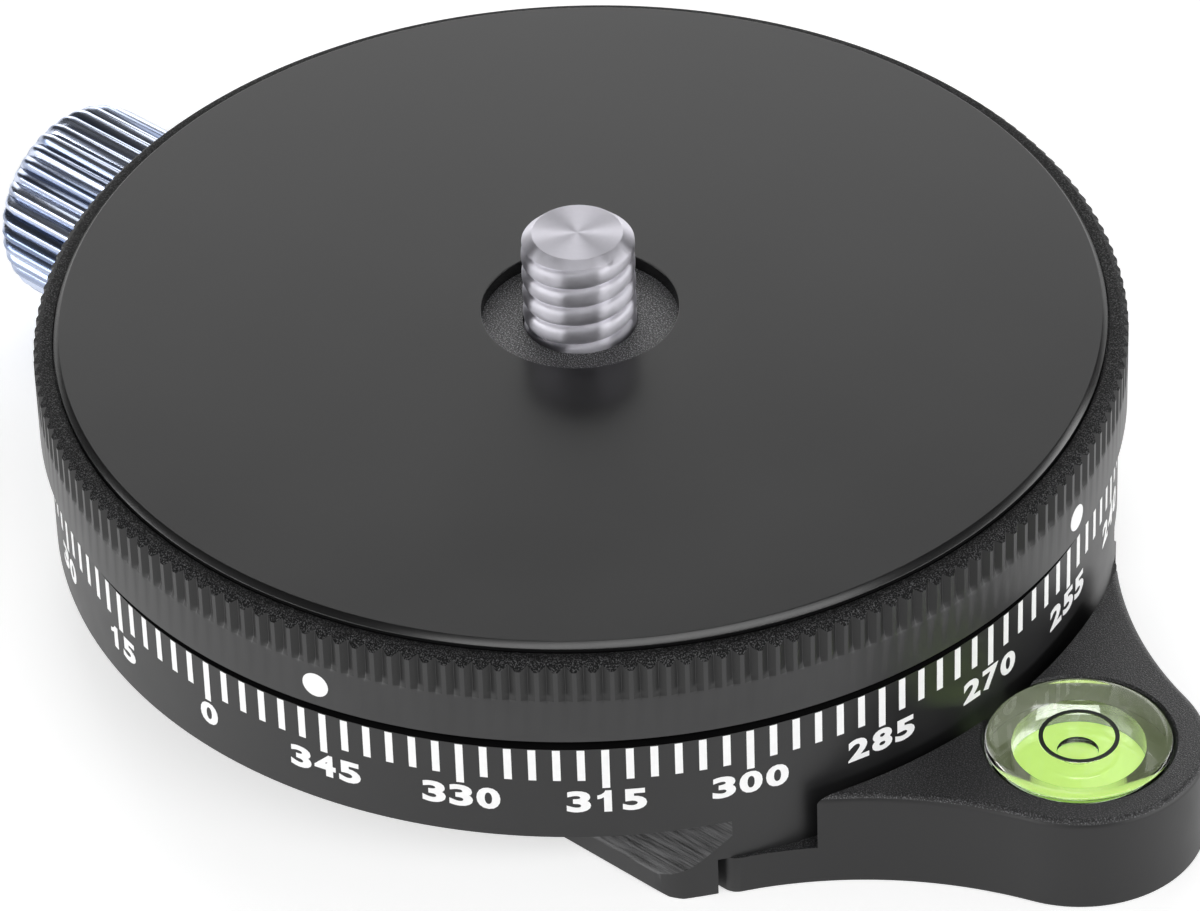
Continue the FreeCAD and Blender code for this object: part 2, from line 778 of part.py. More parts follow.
def make_lock_knob():
    """Fluted aluminium knob with a rounded outer end, blind bored for the lock screw."""
    body = new_body("lock_knob", x=-knob_start, z=dim.lock_height, turn=OUTWARD)
    radius, length, round_end = dim.knob_radius, dim.knob_length, dim.knob_round
    bore = dim.lock_screw_radius + dim.fit_gap
    depth = dim.knob_length - dim.knob_end_wall + dim.fit_gap
    revolve(body, [(bore, 0), (radius - dim.knob_edge, 0), (radius, dim.knob_edge),
                   (radius, length - round_end), Bend(round_end), (radius - round_end, length),
                   (0, length), (0, depth), (bore, depth)])
    cut_flutes(body, radius, dim.knob_flute_depth, dim.knob_flute_count, GROUND, length)
    return body


# ---------------------------------------------------------------- level

def bracket_outline():
    """Plan of the bracket: a straight tongue, two hollow flares and a round nose."""
    wide = tongue_half_width
    start = slot_start + dim.tongue_gap
    angle = math.radians(dim.flare_angle.number)
    cosine = Size(math.cos(angle), "cos(%s)" % dim.flare_angle.text)
    sine = Size(math.sin(angle), "sin(%s)" % dim.flare_angle.text)
    meet = (nose_centre + nose_radius * cosine, nose_radius * sine)
    reach = nose_radius + dim.flare_radius
    centre = (nose_centre + reach * cosine, reach * sine)
    rise = centre[1] - wide
    run = Size(math.sqrt(dim.flare_radius.number ** 2 - rise.number ** 2),
               "sqrt(%s ^ 2 - %s ^ 2)" % (dim.flare_radius.text, rise.text))
    flare_start = centre[0] - run
    tip = (nose_centre + nose_radius, 0)
    return [(start, wide), (start, -wide), (flare_start, -wide), Bend(dim.flare_radius, left=False),
            (meet[0], -meet[1]), Bend(nose_radius), tip, Bend(nose_radius), meet,
            Bend(dim.flare_radius, left=False), (flare_start, wide)]


def make_level_bracket():
    """Blasted bracket: its tongue lies in the base's slot, its nose holds the round level."""
    body = new_body("level_bracket", z=bracket_foot)
    plan = new_sketch(body, "Plan", "XY_Plane")
    trace(plan, bracket_outline())
    pad(body, plan, dim.arm_height)

    def is_tongue_corner(edge):
        if not is_upright(edge):
            return False
        point = edge.Vertexes[0].Point
        return abs(abs(point.y) - tongue_half_width.number) < NEAR

    def is_top_edge(edge):
        heights = (edge.BoundBox.ZMin, edge.BoundBox.ZMax)
        return all(abs(height - dim.arm_height.number) < NEAR for height in heights)

    dress(body, "Fillet", dim.tongue_corner, is_tongue_corner)
    dress(body, "Chamfer", dim.arm_edge, is_top_edge)
    drum_room = new_sketch(body, "DrumRoom", "XY_Plane", dim.arm_height)
    circle(drum_room, dim.drum_radius + dim.bracket_gap)
    pocket(body, drum_room, dim.arm_height - dim.tongue_height)

    vial_pocket = new_sketch(body, "VialPocket", "XY_Plane", dim.arm_height)
    circle(vial_pocket, dim.vial_radius + dim.running_gap, nose_centre, 0)
    pocket(body, vial_pocket, vial_pocket_depth)

    bore = dim.bracket_screw_radius + dim.washer_gap
    screw_hole(body, "ScrewHoles",
               [(bracket_screw_inset, dim.bracket_screw_side),
                (bracket_screw_inset, -dim.bracket_screw_side)],
               bore, dim.tongue_height, GROUND, upward=True)
    dress(body, "Chamfer", dim.bracket_screw_radius,
          lambda edge: is_rim(edge, bore, GROUND))
    return body


def make_bracket_screws():
    """The two screws that hold the bracket, heads down."""
    screw = countersunk_screw("bracket_screw_pattern", dim.bracket_screw_radius,
                              dim.bracket_screw_length)
    over = FreeCAD.Rotation(FreeCAD.Vector(1, 0, 0), 180)
    height = bracket_foot + dim.screw_sink
    side = dim.bracket_screw_side
    places = [(bracket_screw_inset, side, height), (bracket_screw_inset, -side, height)]
    group("bracket_screws", screw, places, turn=over)


def make_vial():
    """Round level: white base, clear shell with the fluid in it, and its centring ring."""
    outer, bore = dim.vial_radius, dim.vial_radius - dim.vial_wall
    base = dim.vial_base_height
    shell_height = dim.vial_height - base
    roof = shell_height - dim.vial_roof

    floor = new_body("vial_base", x=nose_centre, z=vial_foot)
    revolve(floor, [(0, 0), (outer, 0), (outer, base), (0, base)])

    shell = new_body("vial_body", x=nose_centre, z=vial_foot + base)
    ring_outer = dim.vial_ring_radius
    ring_inner = ring_outer - dim.vial_ring_width
    ring_floor = shell_height - dim.vial_ring_depth
    revolve(shell, [(bore, 0), (outer, 0), (outer, shell_height - dim.vial_edge),
                    Bend(dim.vial_edge), (outer - dim.vial_edge, shell_height),
                    (ring_outer, shell_height), (ring_outer, ring_floor), (ring_inner, ring_floor),
                    (ring_inner, shell_height), (0, shell_height), (0, roof), (bore, roof)])

    fluid = new_body("vial_fluid", x=nose_centre, z=vial_foot + base)
    revolve(fluid, [(0, 0), (bore, 0), (bore, roof), (0, roof)])

    ring = new_body("vial_ring", x=nose_centre, z=vial_foot + base + ring_floor)
    depth = dim.vial_ring_depth
    revolve(ring, [(ring_inner, 0), (ring_outer, 0), (ring_outer, depth), (ring_inner, depth)])


# ---------------------------------------------------------------- build and write

NODES = [
    "base_body", "thread_reducer", "sleeve_bush", "lower_washer", "upper_washer", "retaining_ring",
    "ring_screws", "spindle", "turntable", "turntable_screws", "top_pad", "camera_stud",
    "lock_shoe", "lock_screw", "stop_pin", "lock_knob", "level_bracket", "bracket_screws",
    "vial_base", "vial_body", "vial_fluid", "vial_ring",
]


def check_and_write():
    """Check every object and every piece, and only then write each piece to its own file."""
    doc.recompute()
    for item in doc.Objects:
        if "Invalid" in item.State or "Error" in item.State:
            raise RuntimeError("%s failed: %s" % (item.Label, item.State))
    shapes = {label: doc.getObjectsByLabel(label)[0].Shape for label in NODES}
    for label, shape in shapes.items():
        if shape.isNull() or not shape.isValid():
            raise RuntimeError("%s has no valid shape" % label)
    os.makedirs("parts", exist_ok=True)
    for label, shape in shapes.items():
        shape.exportStep("parts/%s.step" % label)
        box = shape.BoundBox
        print("%-18s %2d solid(s) %10.2f mm3  x %7.2f %7.2f  y %7.2f %7.2f  z %6.2f %6.2f" % (
            label, len(shape.Solids), shape.Volume, box.XMin, box.XMax, box.YMin, box.YMax,
            box.ZMin, box.ZMax))


make_base_body()
make_thread_reducer()
make_bearing()
make_spindle()
make_turntable()
make_turntable_screws()
make_top_pad()
make_camera_stud()
make_lock_shoe()
make_lock_screw()
make_stop_pin()
make_lock_knob()
make_level_bracket()
make_bracket_screws()
make_vial()
check_and_write()
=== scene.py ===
"""Panoramic tripod head: finishes, fine shapes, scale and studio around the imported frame.

Sizes are in millimetres in the part's own frame until a piece is finished, which puts it in metres.
The pan axis is Z, the round level lies at +X and the lock knob at -X.
"""

import logging
import math
from collections.abc import Callable, Iterable
from dataclasses import dataclass
from enum import Enum, IntEnum

import bmesh
import bpy
from mathutils import Matrix, Vector


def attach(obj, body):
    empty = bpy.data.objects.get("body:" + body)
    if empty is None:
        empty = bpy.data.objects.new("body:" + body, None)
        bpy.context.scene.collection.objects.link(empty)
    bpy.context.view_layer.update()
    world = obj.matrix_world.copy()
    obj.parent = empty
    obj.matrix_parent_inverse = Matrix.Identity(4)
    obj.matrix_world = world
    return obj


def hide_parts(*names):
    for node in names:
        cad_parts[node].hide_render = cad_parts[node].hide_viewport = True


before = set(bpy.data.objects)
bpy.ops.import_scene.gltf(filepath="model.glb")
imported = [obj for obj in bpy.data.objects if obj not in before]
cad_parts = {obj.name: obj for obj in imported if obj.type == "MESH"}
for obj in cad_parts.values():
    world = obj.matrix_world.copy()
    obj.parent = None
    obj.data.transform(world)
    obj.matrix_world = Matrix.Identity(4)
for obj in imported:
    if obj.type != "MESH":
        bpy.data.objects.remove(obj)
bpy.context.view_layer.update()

log = logging.getLogger("panoramic_head")

MM = 0.001
TURN = 2 * math.pi
WELD = 1e-4                 # millimetres
WAVE_UNIT = math.pi / 10    # scale at which the wave node's rings stand one metre apart

DRUM_RADIUS = 30.0
LOCK_HEIGHT = 6.4           # of the lock knob's axis
BRACKET_SCREWS = ((22.5, 10.0), (22.5, -10.0))

Point = tuple[float, float]
Triple = tuple[float, float, float]
Socket = bpy.types.NodeSocket
Vert = bmesh.types.BMVert
Edge = bmesh.types.BMEdge
Face = bmesh.types.BMFace


class Body(Enum):
    """The moving bodies that the scene's pieces ride on."""

    BASE = "base"
    PAN_TOP = "pan_top"
    LOCK = "lock"


class Slot(Enum):
    """The record's material slots, by name."""

    ANODISED_BLACK = "anodised_black"
    BLASTED_BLACK = "blasted_black"
    PAD_RUBBER = "pad_rubber"
    BRIGHT_STEEL = "bright_steel"
    KNOB_ALUMINIUM = "knob_aluminium"
    VIAL_WHITE = "vial_white"
    VIAL_CLEAR = "vial_clear"
    VIAL_LIME = "vial_lime"
    RING_BLACK = "ring_black"


class Join(Enum):
    """What a shape does with the ones it meets."""

    CUT = "DIFFERENCE"
    ADD = "UNION"
    KEEP = "INTERSECT"


class Steps(IntEnum):
    """Faces round a turned shape."""

    HOLE = 48
    SMALL = 96
    LEVEL = 128
    DISC = 256
    DRUM = 288


# ---------------- finishes

class Graph:
    """A node tree, with short ways to add and join its nodes."""

    def __init__(self, owner: bpy.types.Material | bpy.types.World) -> None:
        """Work on the nodes of a material or a world."""
        owner.use_nodes = True
        self.tree = owner.node_tree

    def put(self, node: bpy.types.Node, inputs: dict[str | int, object]) -> None:
        """Set a node's inputs.

        Args:
            node: the node.
            inputs: a value or another node's output for each input, by its name or place.
        """
        for name, amount in inputs.items():
            if isinstance(amount, Socket):
                self.tree.links.new(amount, node.inputs[name])
            else:
                node.inputs[name].default_value = amount

    def add(self, kind: str, inputs: dict[str | int, object], result: str | int = 0,
            **options: object) -> Socket:
        """Add a node.

        Args:
            kind: its type, without the ShaderNode before it.
            inputs: a value or another node's output for each input, by its name or place.
            result: the output that is wanted.
            **options: its other settings.

        Returns:
            The output.
        """
        node = self.tree.nodes.new("ShaderNode" + kind)
        for name, option in options.items():
            setattr(node, name, option)
        self.put(node, inputs)
        return node.outputs[result]

    def spread(self, number: Socket, low: float, high: float, start: float = 0.3, stop: float = 0.7,
               way: str = "LINEAR") -> Socket:
        """A number spread from low, where it is start, to high, where it is stop."""
        return self.add("MapRange", {"Value": number, "From Min": start, "From Max": stop,
                                     "To Min": low, "To Max": high}, interpolation_type=way)

    def seen_directly(self, *more: str) -> Socket:
        """1 where a ray comes straight from the camera or through something clear.

        Args:
            *more: other kinds of ray that count.

        Returns:
            The number.
        """
        rays = self.tree.nodes.new("ShaderNodeLightPath").outputs
        total = rays["Is Camera Ray"]
        for kind in ("Is Transmission Ray", *more):
            total = self.add("Math", {0: total, 1: rays[kind]}, operation="MAXIMUM")
        return total


class Surface(Graph):
    """The nodes of a new material, round its Principled shader."""

    def __init__(self, name: str) -> None:
        """Make the material.

        Args:
            name: its name.
        """
        self.material = bpy.data.materials.new(name)
        super().__init__(self.material)
        self.shader = self.tree.nodes["Principled BSDF"]
        self.output = self.tree.nodes["Material Output"]
        self.place = self.add("TexCoord", {}, "Object")

    def set(self, **inputs: object) -> None:
        """Set inputs of the shader; an underscore stands for a space."""
        self.put(self.shader, {name.replace("_", " "): amount for name, amount in inputs.items()})

    def mapped(self, stretch: Triple, centre: Triple = (0.0, 0.0, 0.0)) -> Socket:
        """The object's coordinates, counted from a centre in millimetres and stretched."""
        shift = [-c * MM * s for c, s in zip(centre, stretch)]
        return self.add("Mapping", {"Vector": self.place, "Location": shift, "Scale": stretch})

    def noise(self, scale: float, detail: float = 2.0, vector: Socket | None = None) -> Socket:
        """A noise pattern from 0 to 1; its scale is in features per metre."""
        return self.add("TexNoise", {"Vector": vector or self.place, "Scale": scale, "Detail": detail}, "Fac")

    def rings(self, pitch: float, axis: str, vector: Socket) -> Socket:
        """Turned rings from 0 to 1 round one of the vector's axes; their pitch is in millimetres."""
        return self.add("TexWave", {"Vector": vector, "Scale": WAVE_UNIT / (pitch * MM), "Distortion": 0.6,
                                    "Detail": 1.0}, "Fac", wave_type="RINGS", rings_direction=axis)

    def blend(self, pattern: Socket, dark: Iterable[float], light: Iterable[float], stops: Point) -> Socket:
        """Mix two colours by a pattern.

        Args:
            pattern: what mixes them.
            dark: the colour at the first stop.
            light: the colour at the second stop.
            stops: the pattern's values there.

        Returns:
            The mixed colour.
        """
        node = self.tree.nodes.new("ShaderNodeValToRGB")
        for element, stop, colour in zip(node.color_ramp.elements, stops, (dark, light)):
            element.position = stop
            element.color = (*colour, 1.0)
        self.put(node, {"Fac": pattern})
        return node.outputs["Color"]

    def bump(self, height: Socket, depth: float, **under: Socket) -> Socket:
        """A relief from a pattern, its depth in millimetres; Normal gives one that it lies on."""
        return self.add("Bump", {"Height": height, "Distance": depth * MM, **under})


@dataclass(frozen=True)
class Finish:
    """A surface finish; each kind says in dress() what its shader looks like."""

    name: str
    colour: Triple
    roughness: float
    shades: Point = (1.0, 1.0)      # shares of the colour that a pattern goes between
    stops: Point = (0.35, 0.65)     # the pattern's values where it reaches them
    wander: Point = (0.0, 0.0)      # how far a pattern takes the roughness down and up

    def material(self) -> bpy.types.Material:
        """The finish as a material, made once.

        Returns:
            The material of this name.
        """
        known = bpy.data.materials.get(self.name)
        if known is not None:
            return known
        surface = Surface(self.name)
        surface.set(Base_Color=(*self.colour, 1.0), Roughness=self.roughness)
        self.dress(surface)
        return surface.material

    def dress(self, surface: Surface) -> None:
        """Add this kind's own detail.

        Args:
            surface: the material's nodes.
        """
        raise NotImplementedError

    def shaded(self, surface: Surface, pattern: Socket) -> Socket:
        """The colour, darker and lighter by a pattern."""
        dark, light = ([min(c * share, 1.0) for c in self.colour] for share in self.shades)
        return surface.blend(pattern, dark, light, self.stops)

    def roughened(self, surface: Surface, pattern: Socket) -> Socket:
        """The roughness, less and more by a pattern."""
        return surface.spread(pattern, *[self.roughness + step for step in self.wander])


@dataclass(frozen=True)
class SatinBlack(Finish):
    """Turned and anodised black: smooth, with a faint grain and clouding."""

    shades: Point = (0.92, 1.1)
    wander: Point = (-0.02, 0.03)
    clouds: float = 350.0
    grain: float = 9000.0
    grain_depth: float = 0.0012
    specular: float = 0.5

    def dress(self, surface: Surface) -> None:
        """Fine grain and a slight clouding."""
        cloud = surface.noise(self.clouds)
        surface.set(Base_Color=self.shaded(surface, cloud), Roughness=self.roughened(surface, cloud),
                    Normal=surface.bump(surface.noise(self.grain, detail=3.0), self.grain_depth),
                    Specular_IOR_Level=self.specular)


@dataclass(frozen=True)
class MilledBlack(Finish):
    """Milled and anodised black: streaks along X over a grain."""

    shades: Point = (0.15, 2.6)
    stops: Point = (0.36, 0.66)
    wander: Point = (-0.08, 0.1)
    streaks: Triple = (420.0, 7500.0, 7500.0)
    grain: float = 11000.0
    depth: float = 0.02

    def dress(self, surface: Surface) -> None:
        """Streaks in colour, roughness and relief."""
        streaks = surface.noise(1.0, detail=6.0, vector=surface.mapped(self.streaks))
        surface.set(Base_Color=self.shaded(surface, streaks), Roughness=self.roughened(surface, streaks),
                    Normal=surface.bump(streaks, self.depth,
                                        Normal=surface.bump(surface.noise(self.grain), self.depth)))


@dataclass(frozen=True)
class BlastedBlack(Finish):
    """Blasted and anodised black: matte with small light specks."""

    stops: Point = (0.5, 0.72)
    grain: float = 13000.0
    grain_depth: float = 0.012
    specular: float = 0.35
    speck: Triple = (0.1, 0.1, 0.103)

    def dress(self, surface: Surface) -> None:
        """Coarse grain whose peaks are a little lighter."""
        grain = surface.noise(self.grain)
        surface.set(Base_Color=surface.blend(grain, self.colour, self.speck, self.stops),
                    Normal=surface.bump(grain, self.grain_depth), Specular_IOR_Level=self.specular)


@dataclass(frozen=True)
class SmoothRubber(Finish):
    """Moulded rubber: matte, with a soft broad sheen and hardly any texture."""

    shades: Point = (0.97, 1.03)
    wander: Point = (-0.01, 0.01)
    clouds: Point = (60.0, 90.0)    # in the colour and in the roughness
    skin: float = 14000.0
    skin_depth: float = 0.0006

    def dress(self, surface: Surface) -> None:
        """A very fine skin and slight cloudiness."""
        shade, sheen = (surface.noise(scale) for scale in self.clouds)
        surface.set(Base_Color=self.shaded(surface, shade), Roughness=self.roughened(surface, sheen),
                    Normal=surface.bump(surface.noise(self.skin), self.skin_depth))


@dataclass(frozen=True)
class TurnedMetal(Finish):
    """Bare or plated metal with turned rings round an axis."""

    shades: Point = (0.93, 1.05)
    wander: Point = (-0.04, 0.05)
    clouds: float = 900.0
    axis: str = "Z"
    centre: Triple = (0.0, 0.0, 0.0)
    pitch: float = 0.08
    depth: float = 0.0008
    stretch: float = 0.0            # how far reflections are drawn out across the rings
    across: float = 0.25            # share of a turn from along the rings

    def dress(self, surface: Surface) -> None:
        """Rings round the axis and a slight clouding.

        Args:
            surface: the material's nodes.
        """
        rings = surface.rings(self.pitch, self.axis, surface.mapped((1.0, 1.0, 1.0), self.centre))
        cloud = surface.noise(self.clouds, detail=3.0)
        surface.set(Metallic=1.0, Base_Color=self.shaded(surface, cloud),
                    Roughness=self.roughened(surface, cloud), Normal=surface.bump(rings, self.depth))
        if self.stretch > 0:
            surface.set(Tangent=surface.add("Tangent", {}, direction_type="RADIAL", axis="Z"),
                        Anisotropic=self.stretch, Anisotropic_Rotation=self.across)


@dataclass(frozen=True)
class DrawnAluminium(Finish):
    """Bright anodised aluminium, with fine streaks along X, and broad stripes along X painted darker as
    reflections.
    """

    stops: Point = (0.36, 0.56)
    wander: Point = (-0.05, 0.08)
    # the dark colour of the painted reflection stripes
    shade: Triple = (0.2, 0.25, 0.38)
    fine: Triple = (120.0, 6000.0, 6000.0)
    broad: Triple = (20.0, 1300.0, 1300.0)
    depth: float = 0.003

    def dress(self, surface: Surface) -> None:
        """Broad stripes painted darker in the colour as reflections; fine streaks in roughness and relief."""
        broad, fine = (surface.noise(1.0, detail=detail, vector=surface.mapped(stretch))
                       for detail, stretch in ((2.0, self.broad), (3.0, self.fine)))
        surface.set(Metallic=1.0, Base_Color=surface.blend(broad, self.shade, self.colour, self.stops),
                    Roughness=self.roughened(surface, fine), Normal=surface.bump(fine, self.depth))


@dataclass(frozen=True)
class Paint(Finish):
    """Printed marks: flat colour, slightly uneven."""

    shades: Point = (0.97, 1.0)
    clouds: float = 2500.0
    grain: float = 8000.0
    grain_depth: float = 0.0008

    def dress(self, surface: Surface) -> None:
        """A slight unevenness of the ink."""
        surface.set(Base_Color=self.shaded(surface, surface.noise(self.clouds)),
                    Normal=surface.bump(surface.noise(self.grain), self.grain_depth))


@dataclass(frozen=True)
class Plastic(Finish):
    """Moulded or turned plastic, which may have a painted glow, though it is no lamp."""

    wander: Point = (-0.05, 0.05)
    clouds: float = 3000.0
    grain: float = 5000.0
    grain_depth: float = 0.001
    # painted light: a glow, though the part is no lamp
    glow: float = 0.0
    glow_colour: Triple = (1.0, 1.0, 1.0)

    def dress(self, surface: Surface) -> None:
        """A soft grain, and the painted glow."""
        surface.set(Roughness=self.roughened(surface, surface.noise(self.clouds)),
                    Normal=surface.bump(surface.noise(self.grain), self.grain_depth),
                    Emission_Color=(*self.glow_colour, 1.0), Emission_Strength=self.glow)


@dataclass(frozen=True)
class Clear(Finish):
    """Clear or tinted, seen through."""

    bending: float = 1.45
    waves: float = 400.0
    wave_depth: float = 0.001
    tint: Triple | None = None
    density: float = 0.0

    def dress(self, surface: Surface) -> None:
        """Light goes through; a tinted body swallows some colours on the way.

        Args:
            surface: the material's nodes.
        """
        surface.set(Transmission_Weight=1.0, IOR=self.bending,
                    Normal=surface.bump(surface.noise(self.waves, detail=1.0), self.wave_depth))
        if self.tint is not None:
            body = surface.add("VolumeAbsorption", {"Color": (*self.tint, 1.0), "Density": self.density})
            surface.put(surface.output, {"Volume": body})


DRUM_BLACK = SatinBlack("drum_black", (0.011, 0.011, 0.0115), 0.42)
FLANK_BLACK = MilledBlack("flank_black", (0.035, 0.035, 0.036), 0.5)
RIM_BLACK = BlastedBlack("rim_black", (0.004, 0.004, 0.0042), 0.55, grain_depth=0.01,
                         speck=(0.11, 0.11, 0.1133), specular=0.12)
# painted shade: black with no specular on the drum's top edge, in the gap under the turntable and on the
# band's lower chamfer
PAINTED_GAP_SHADE = SatinBlack("gap_painted_shade", (0.003, 0.003, 0.0031), 0.6, specular=0.0)
SEAT_BLACK = BlastedBlack("seat_black", (0.035, 0.035, 0.036), 0.42, grain_depth=0.045,
                          speck=(0.5, 0.5, 0.515))
KNURL_BLACK = SatinBlack("knurl_black", (0.021, 0.021, 0.0216), 0.38, grain_depth=0.002)
# painted shade: the knurl's groove walls, a darker copy of the knurl's black
PAINTED_GROOVE_SHADE = SatinBlack("groove_painted_shade", (0.009, 0.009, 0.0092), 0.46, grain_depth=0.002, specular=0.42)
BRACKET_TOP = BlastedBlack("bracket_top", (0.01, 0.01, 0.011), 0.42, grain_depth=0.055,
                           speck=(0.15, 0.15, 0.1545), specular=0.5)
BRACKET_WALL = SatinBlack("bracket_wall", (0.007, 0.007, 0.0075), 0.45, grain=7000.0, grain_depth=0.003)
PAD_BLACK = SmoothRubber("pad_black", (0.006, 0.006, 0.0062), 0.25)
# painted shade: the pad's edge, a darker copy of the pad's rubber
PAINTED_PAD_EDGE_SHADE = SmoothRubber("pad_edge", (0.004, 0.004, 0.0042), 0.25)
STUD_STEEL = TurnedMetal("stud_steel", (0.56, 0.55, 0.6), 0.4, depth=0.0003, stretch=0.97)
PLATED_STEEL = TurnedMetal("plated_steel_finish", (0.55, 0.56, 0.58), 0.3)
BLACK_STEEL = TurnedMetal("black_steel_finish", (0.08, 0.08, 0.085), 0.35)
PLAIN_ALUMINIUM = TurnedMetal("plain_aluminium_finish", (0.62, 0.62, 0.64), 0.34)
BRONZE = TurnedMetal("bronze_finish", (0.5, 0.33, 0.15), 0.5)
BRASS = TurnedMetal("brass_finish", (0.72, 0.53, 0.22), 0.3)
SCREW_STEEL = TurnedMetal("screw_steel", (0.72, 0.72, 0.73), 0.28)
LOCK_STEEL = TurnedMetal("lock_steel", (0.72, 0.72, 0.73), 0.28, axis="X", centre=(0.0, 0.0, LOCK_HEIGHT))
# painted reflection: dark stripes along the knob's flutes
KNOB_ALUMINIUM = DrawnAluminium("knob_aluminium_finish", (0.63, 0.69, 0.84), 0.24)
KNOB_END = TurnedMetal("knob_end", (0.63, 0.69, 0.84), 0.27, axis="X", centre=(0.0, 0.0, LOCK_HEIGHT),
                       pitch=0.16, depth=0.0015)
SCALE_WHITE = Paint("scale_white", (0.94, 0.94, 0.94), 0.5)
RING_INK = Paint("ring_ink", (0.008, 0.012, 0.008), 0.6)
ACETAL = Plastic("acetal", (0.8, 0.79, 0.74), 0.45)
# painted light: the level's floor glows to stand in for the light that reaches it through the shell and fluid
VIAL_FLOOR_PAINTED_GLOW = Plastic("vial_floor_painted_glow", (0.8, 0.97, 0.35), 0.4, glow=0.6, glow_colour=(0.72, 1.0, 0.25))
# painted light: the floor's outer ring is dark olive with a faint glow, as painted shade and painted
# reflection seen in the shell's outer ring
VIAL_RIM_PAINTED_LIGHT = Plastic("vial_rim_painted_light", (0.12, 0.15, 0.08), 0.35, glow=0.09, glow_colour=(0.75, 0.88, 0.45))
VIAL_SHELL = Clear("vial_shell_clear", (1.0, 1.0, 1.0), 0.02)
VIAL_FLUID = Clear("vial_fluid_lime", (1.0, 1.0, 1.0), 0.0, bending=1.34, tint=(0.7, 1.0, 0.55),
                   density=110.0)


# ---------------- shapes

@dataclass(frozen=True)
class Corner:
    """A corner of an outline, rounded by its radius."""

    x: float
    y: float
    round: float = 0.0


def outline(corners: Iterable[Corner], steps: int = 4) -> list[Point]:
    """The points of a closed outline, with its rounded corners as arcs.

    Args:
        corners: the corners in order.
        steps: faces along each rounded corner.

    Returns:
        The points in order.
    """
    corners = list(corners)
    spots = [Vector((corner.x, corner.y)) for corner in corners]
    points: list[Point] = []
    for index, (corner, here) in enumerate(zip(corners, spots)):
        if corner.round <= 0:
            points.append((corner.x, corner.y))
            continue
        back = (spots[index - 1] - here).normalized()
        on = (spots[(index + 1) % len(spots)] - here).normalized()
        half = back.angle(on) / 2
        centre = here + (back + on).normalized() * (corner.round / math.sin(half))
        start = here + back * (corner.round / math.tan(half)) - centre
        sweep = start.angle_signed(here + on * (corner.round / math.tan(half)) - centre)
        for step in range(steps + 1):
            arm = start.copy()
            arm.rotate(Matrix.Rotation(-sweep * step / steps, 2))
            points.append(tuple(centre + arm))
    return points


def arc(centre: Point, radius: float, start: float, stop: float, steps: int) -> list[Point]:
    """Points along an arc.

    Args:
        centre: its centre.
        radius: its radius.
        start: first angle in degrees.
        stop: last angle in degrees.
        steps: faces along it.

    Returns:
        The points, both ends among them.
    """
    angles = [math.radians(start + (stop - start) * step / steps) for step in range(steps + 1)]
    return [(centre[0] + radius * math.cos(a), centre[1] + radius * math.sin(a)) for a in angles]


def only(kind: type, items: Iterable[object]) -> list:
    """Those of some items that are of one kind."""
    return [item for item in items if isinstance(item, kind)]


def lying(start: float, height: float) -> Matrix:
    """What lays an upright shape along -X, from a start and at a height."""
    return Matrix.Translation((-start, 0, height)) @ Matrix.Rotation(-math.pi / 2, 4, "Y")


def new_object(name: str, data: bpy.types.ID) -> bpy.types.Object:
    """Put an object in the scene.

    Args:
        name: its name.
        data: its mesh, camera or light.

    Returns:
        The object.
    """
    made = bpy.data.objects.new(name, data)
    bpy.context.scene.collection.objects.link(made)
    return made


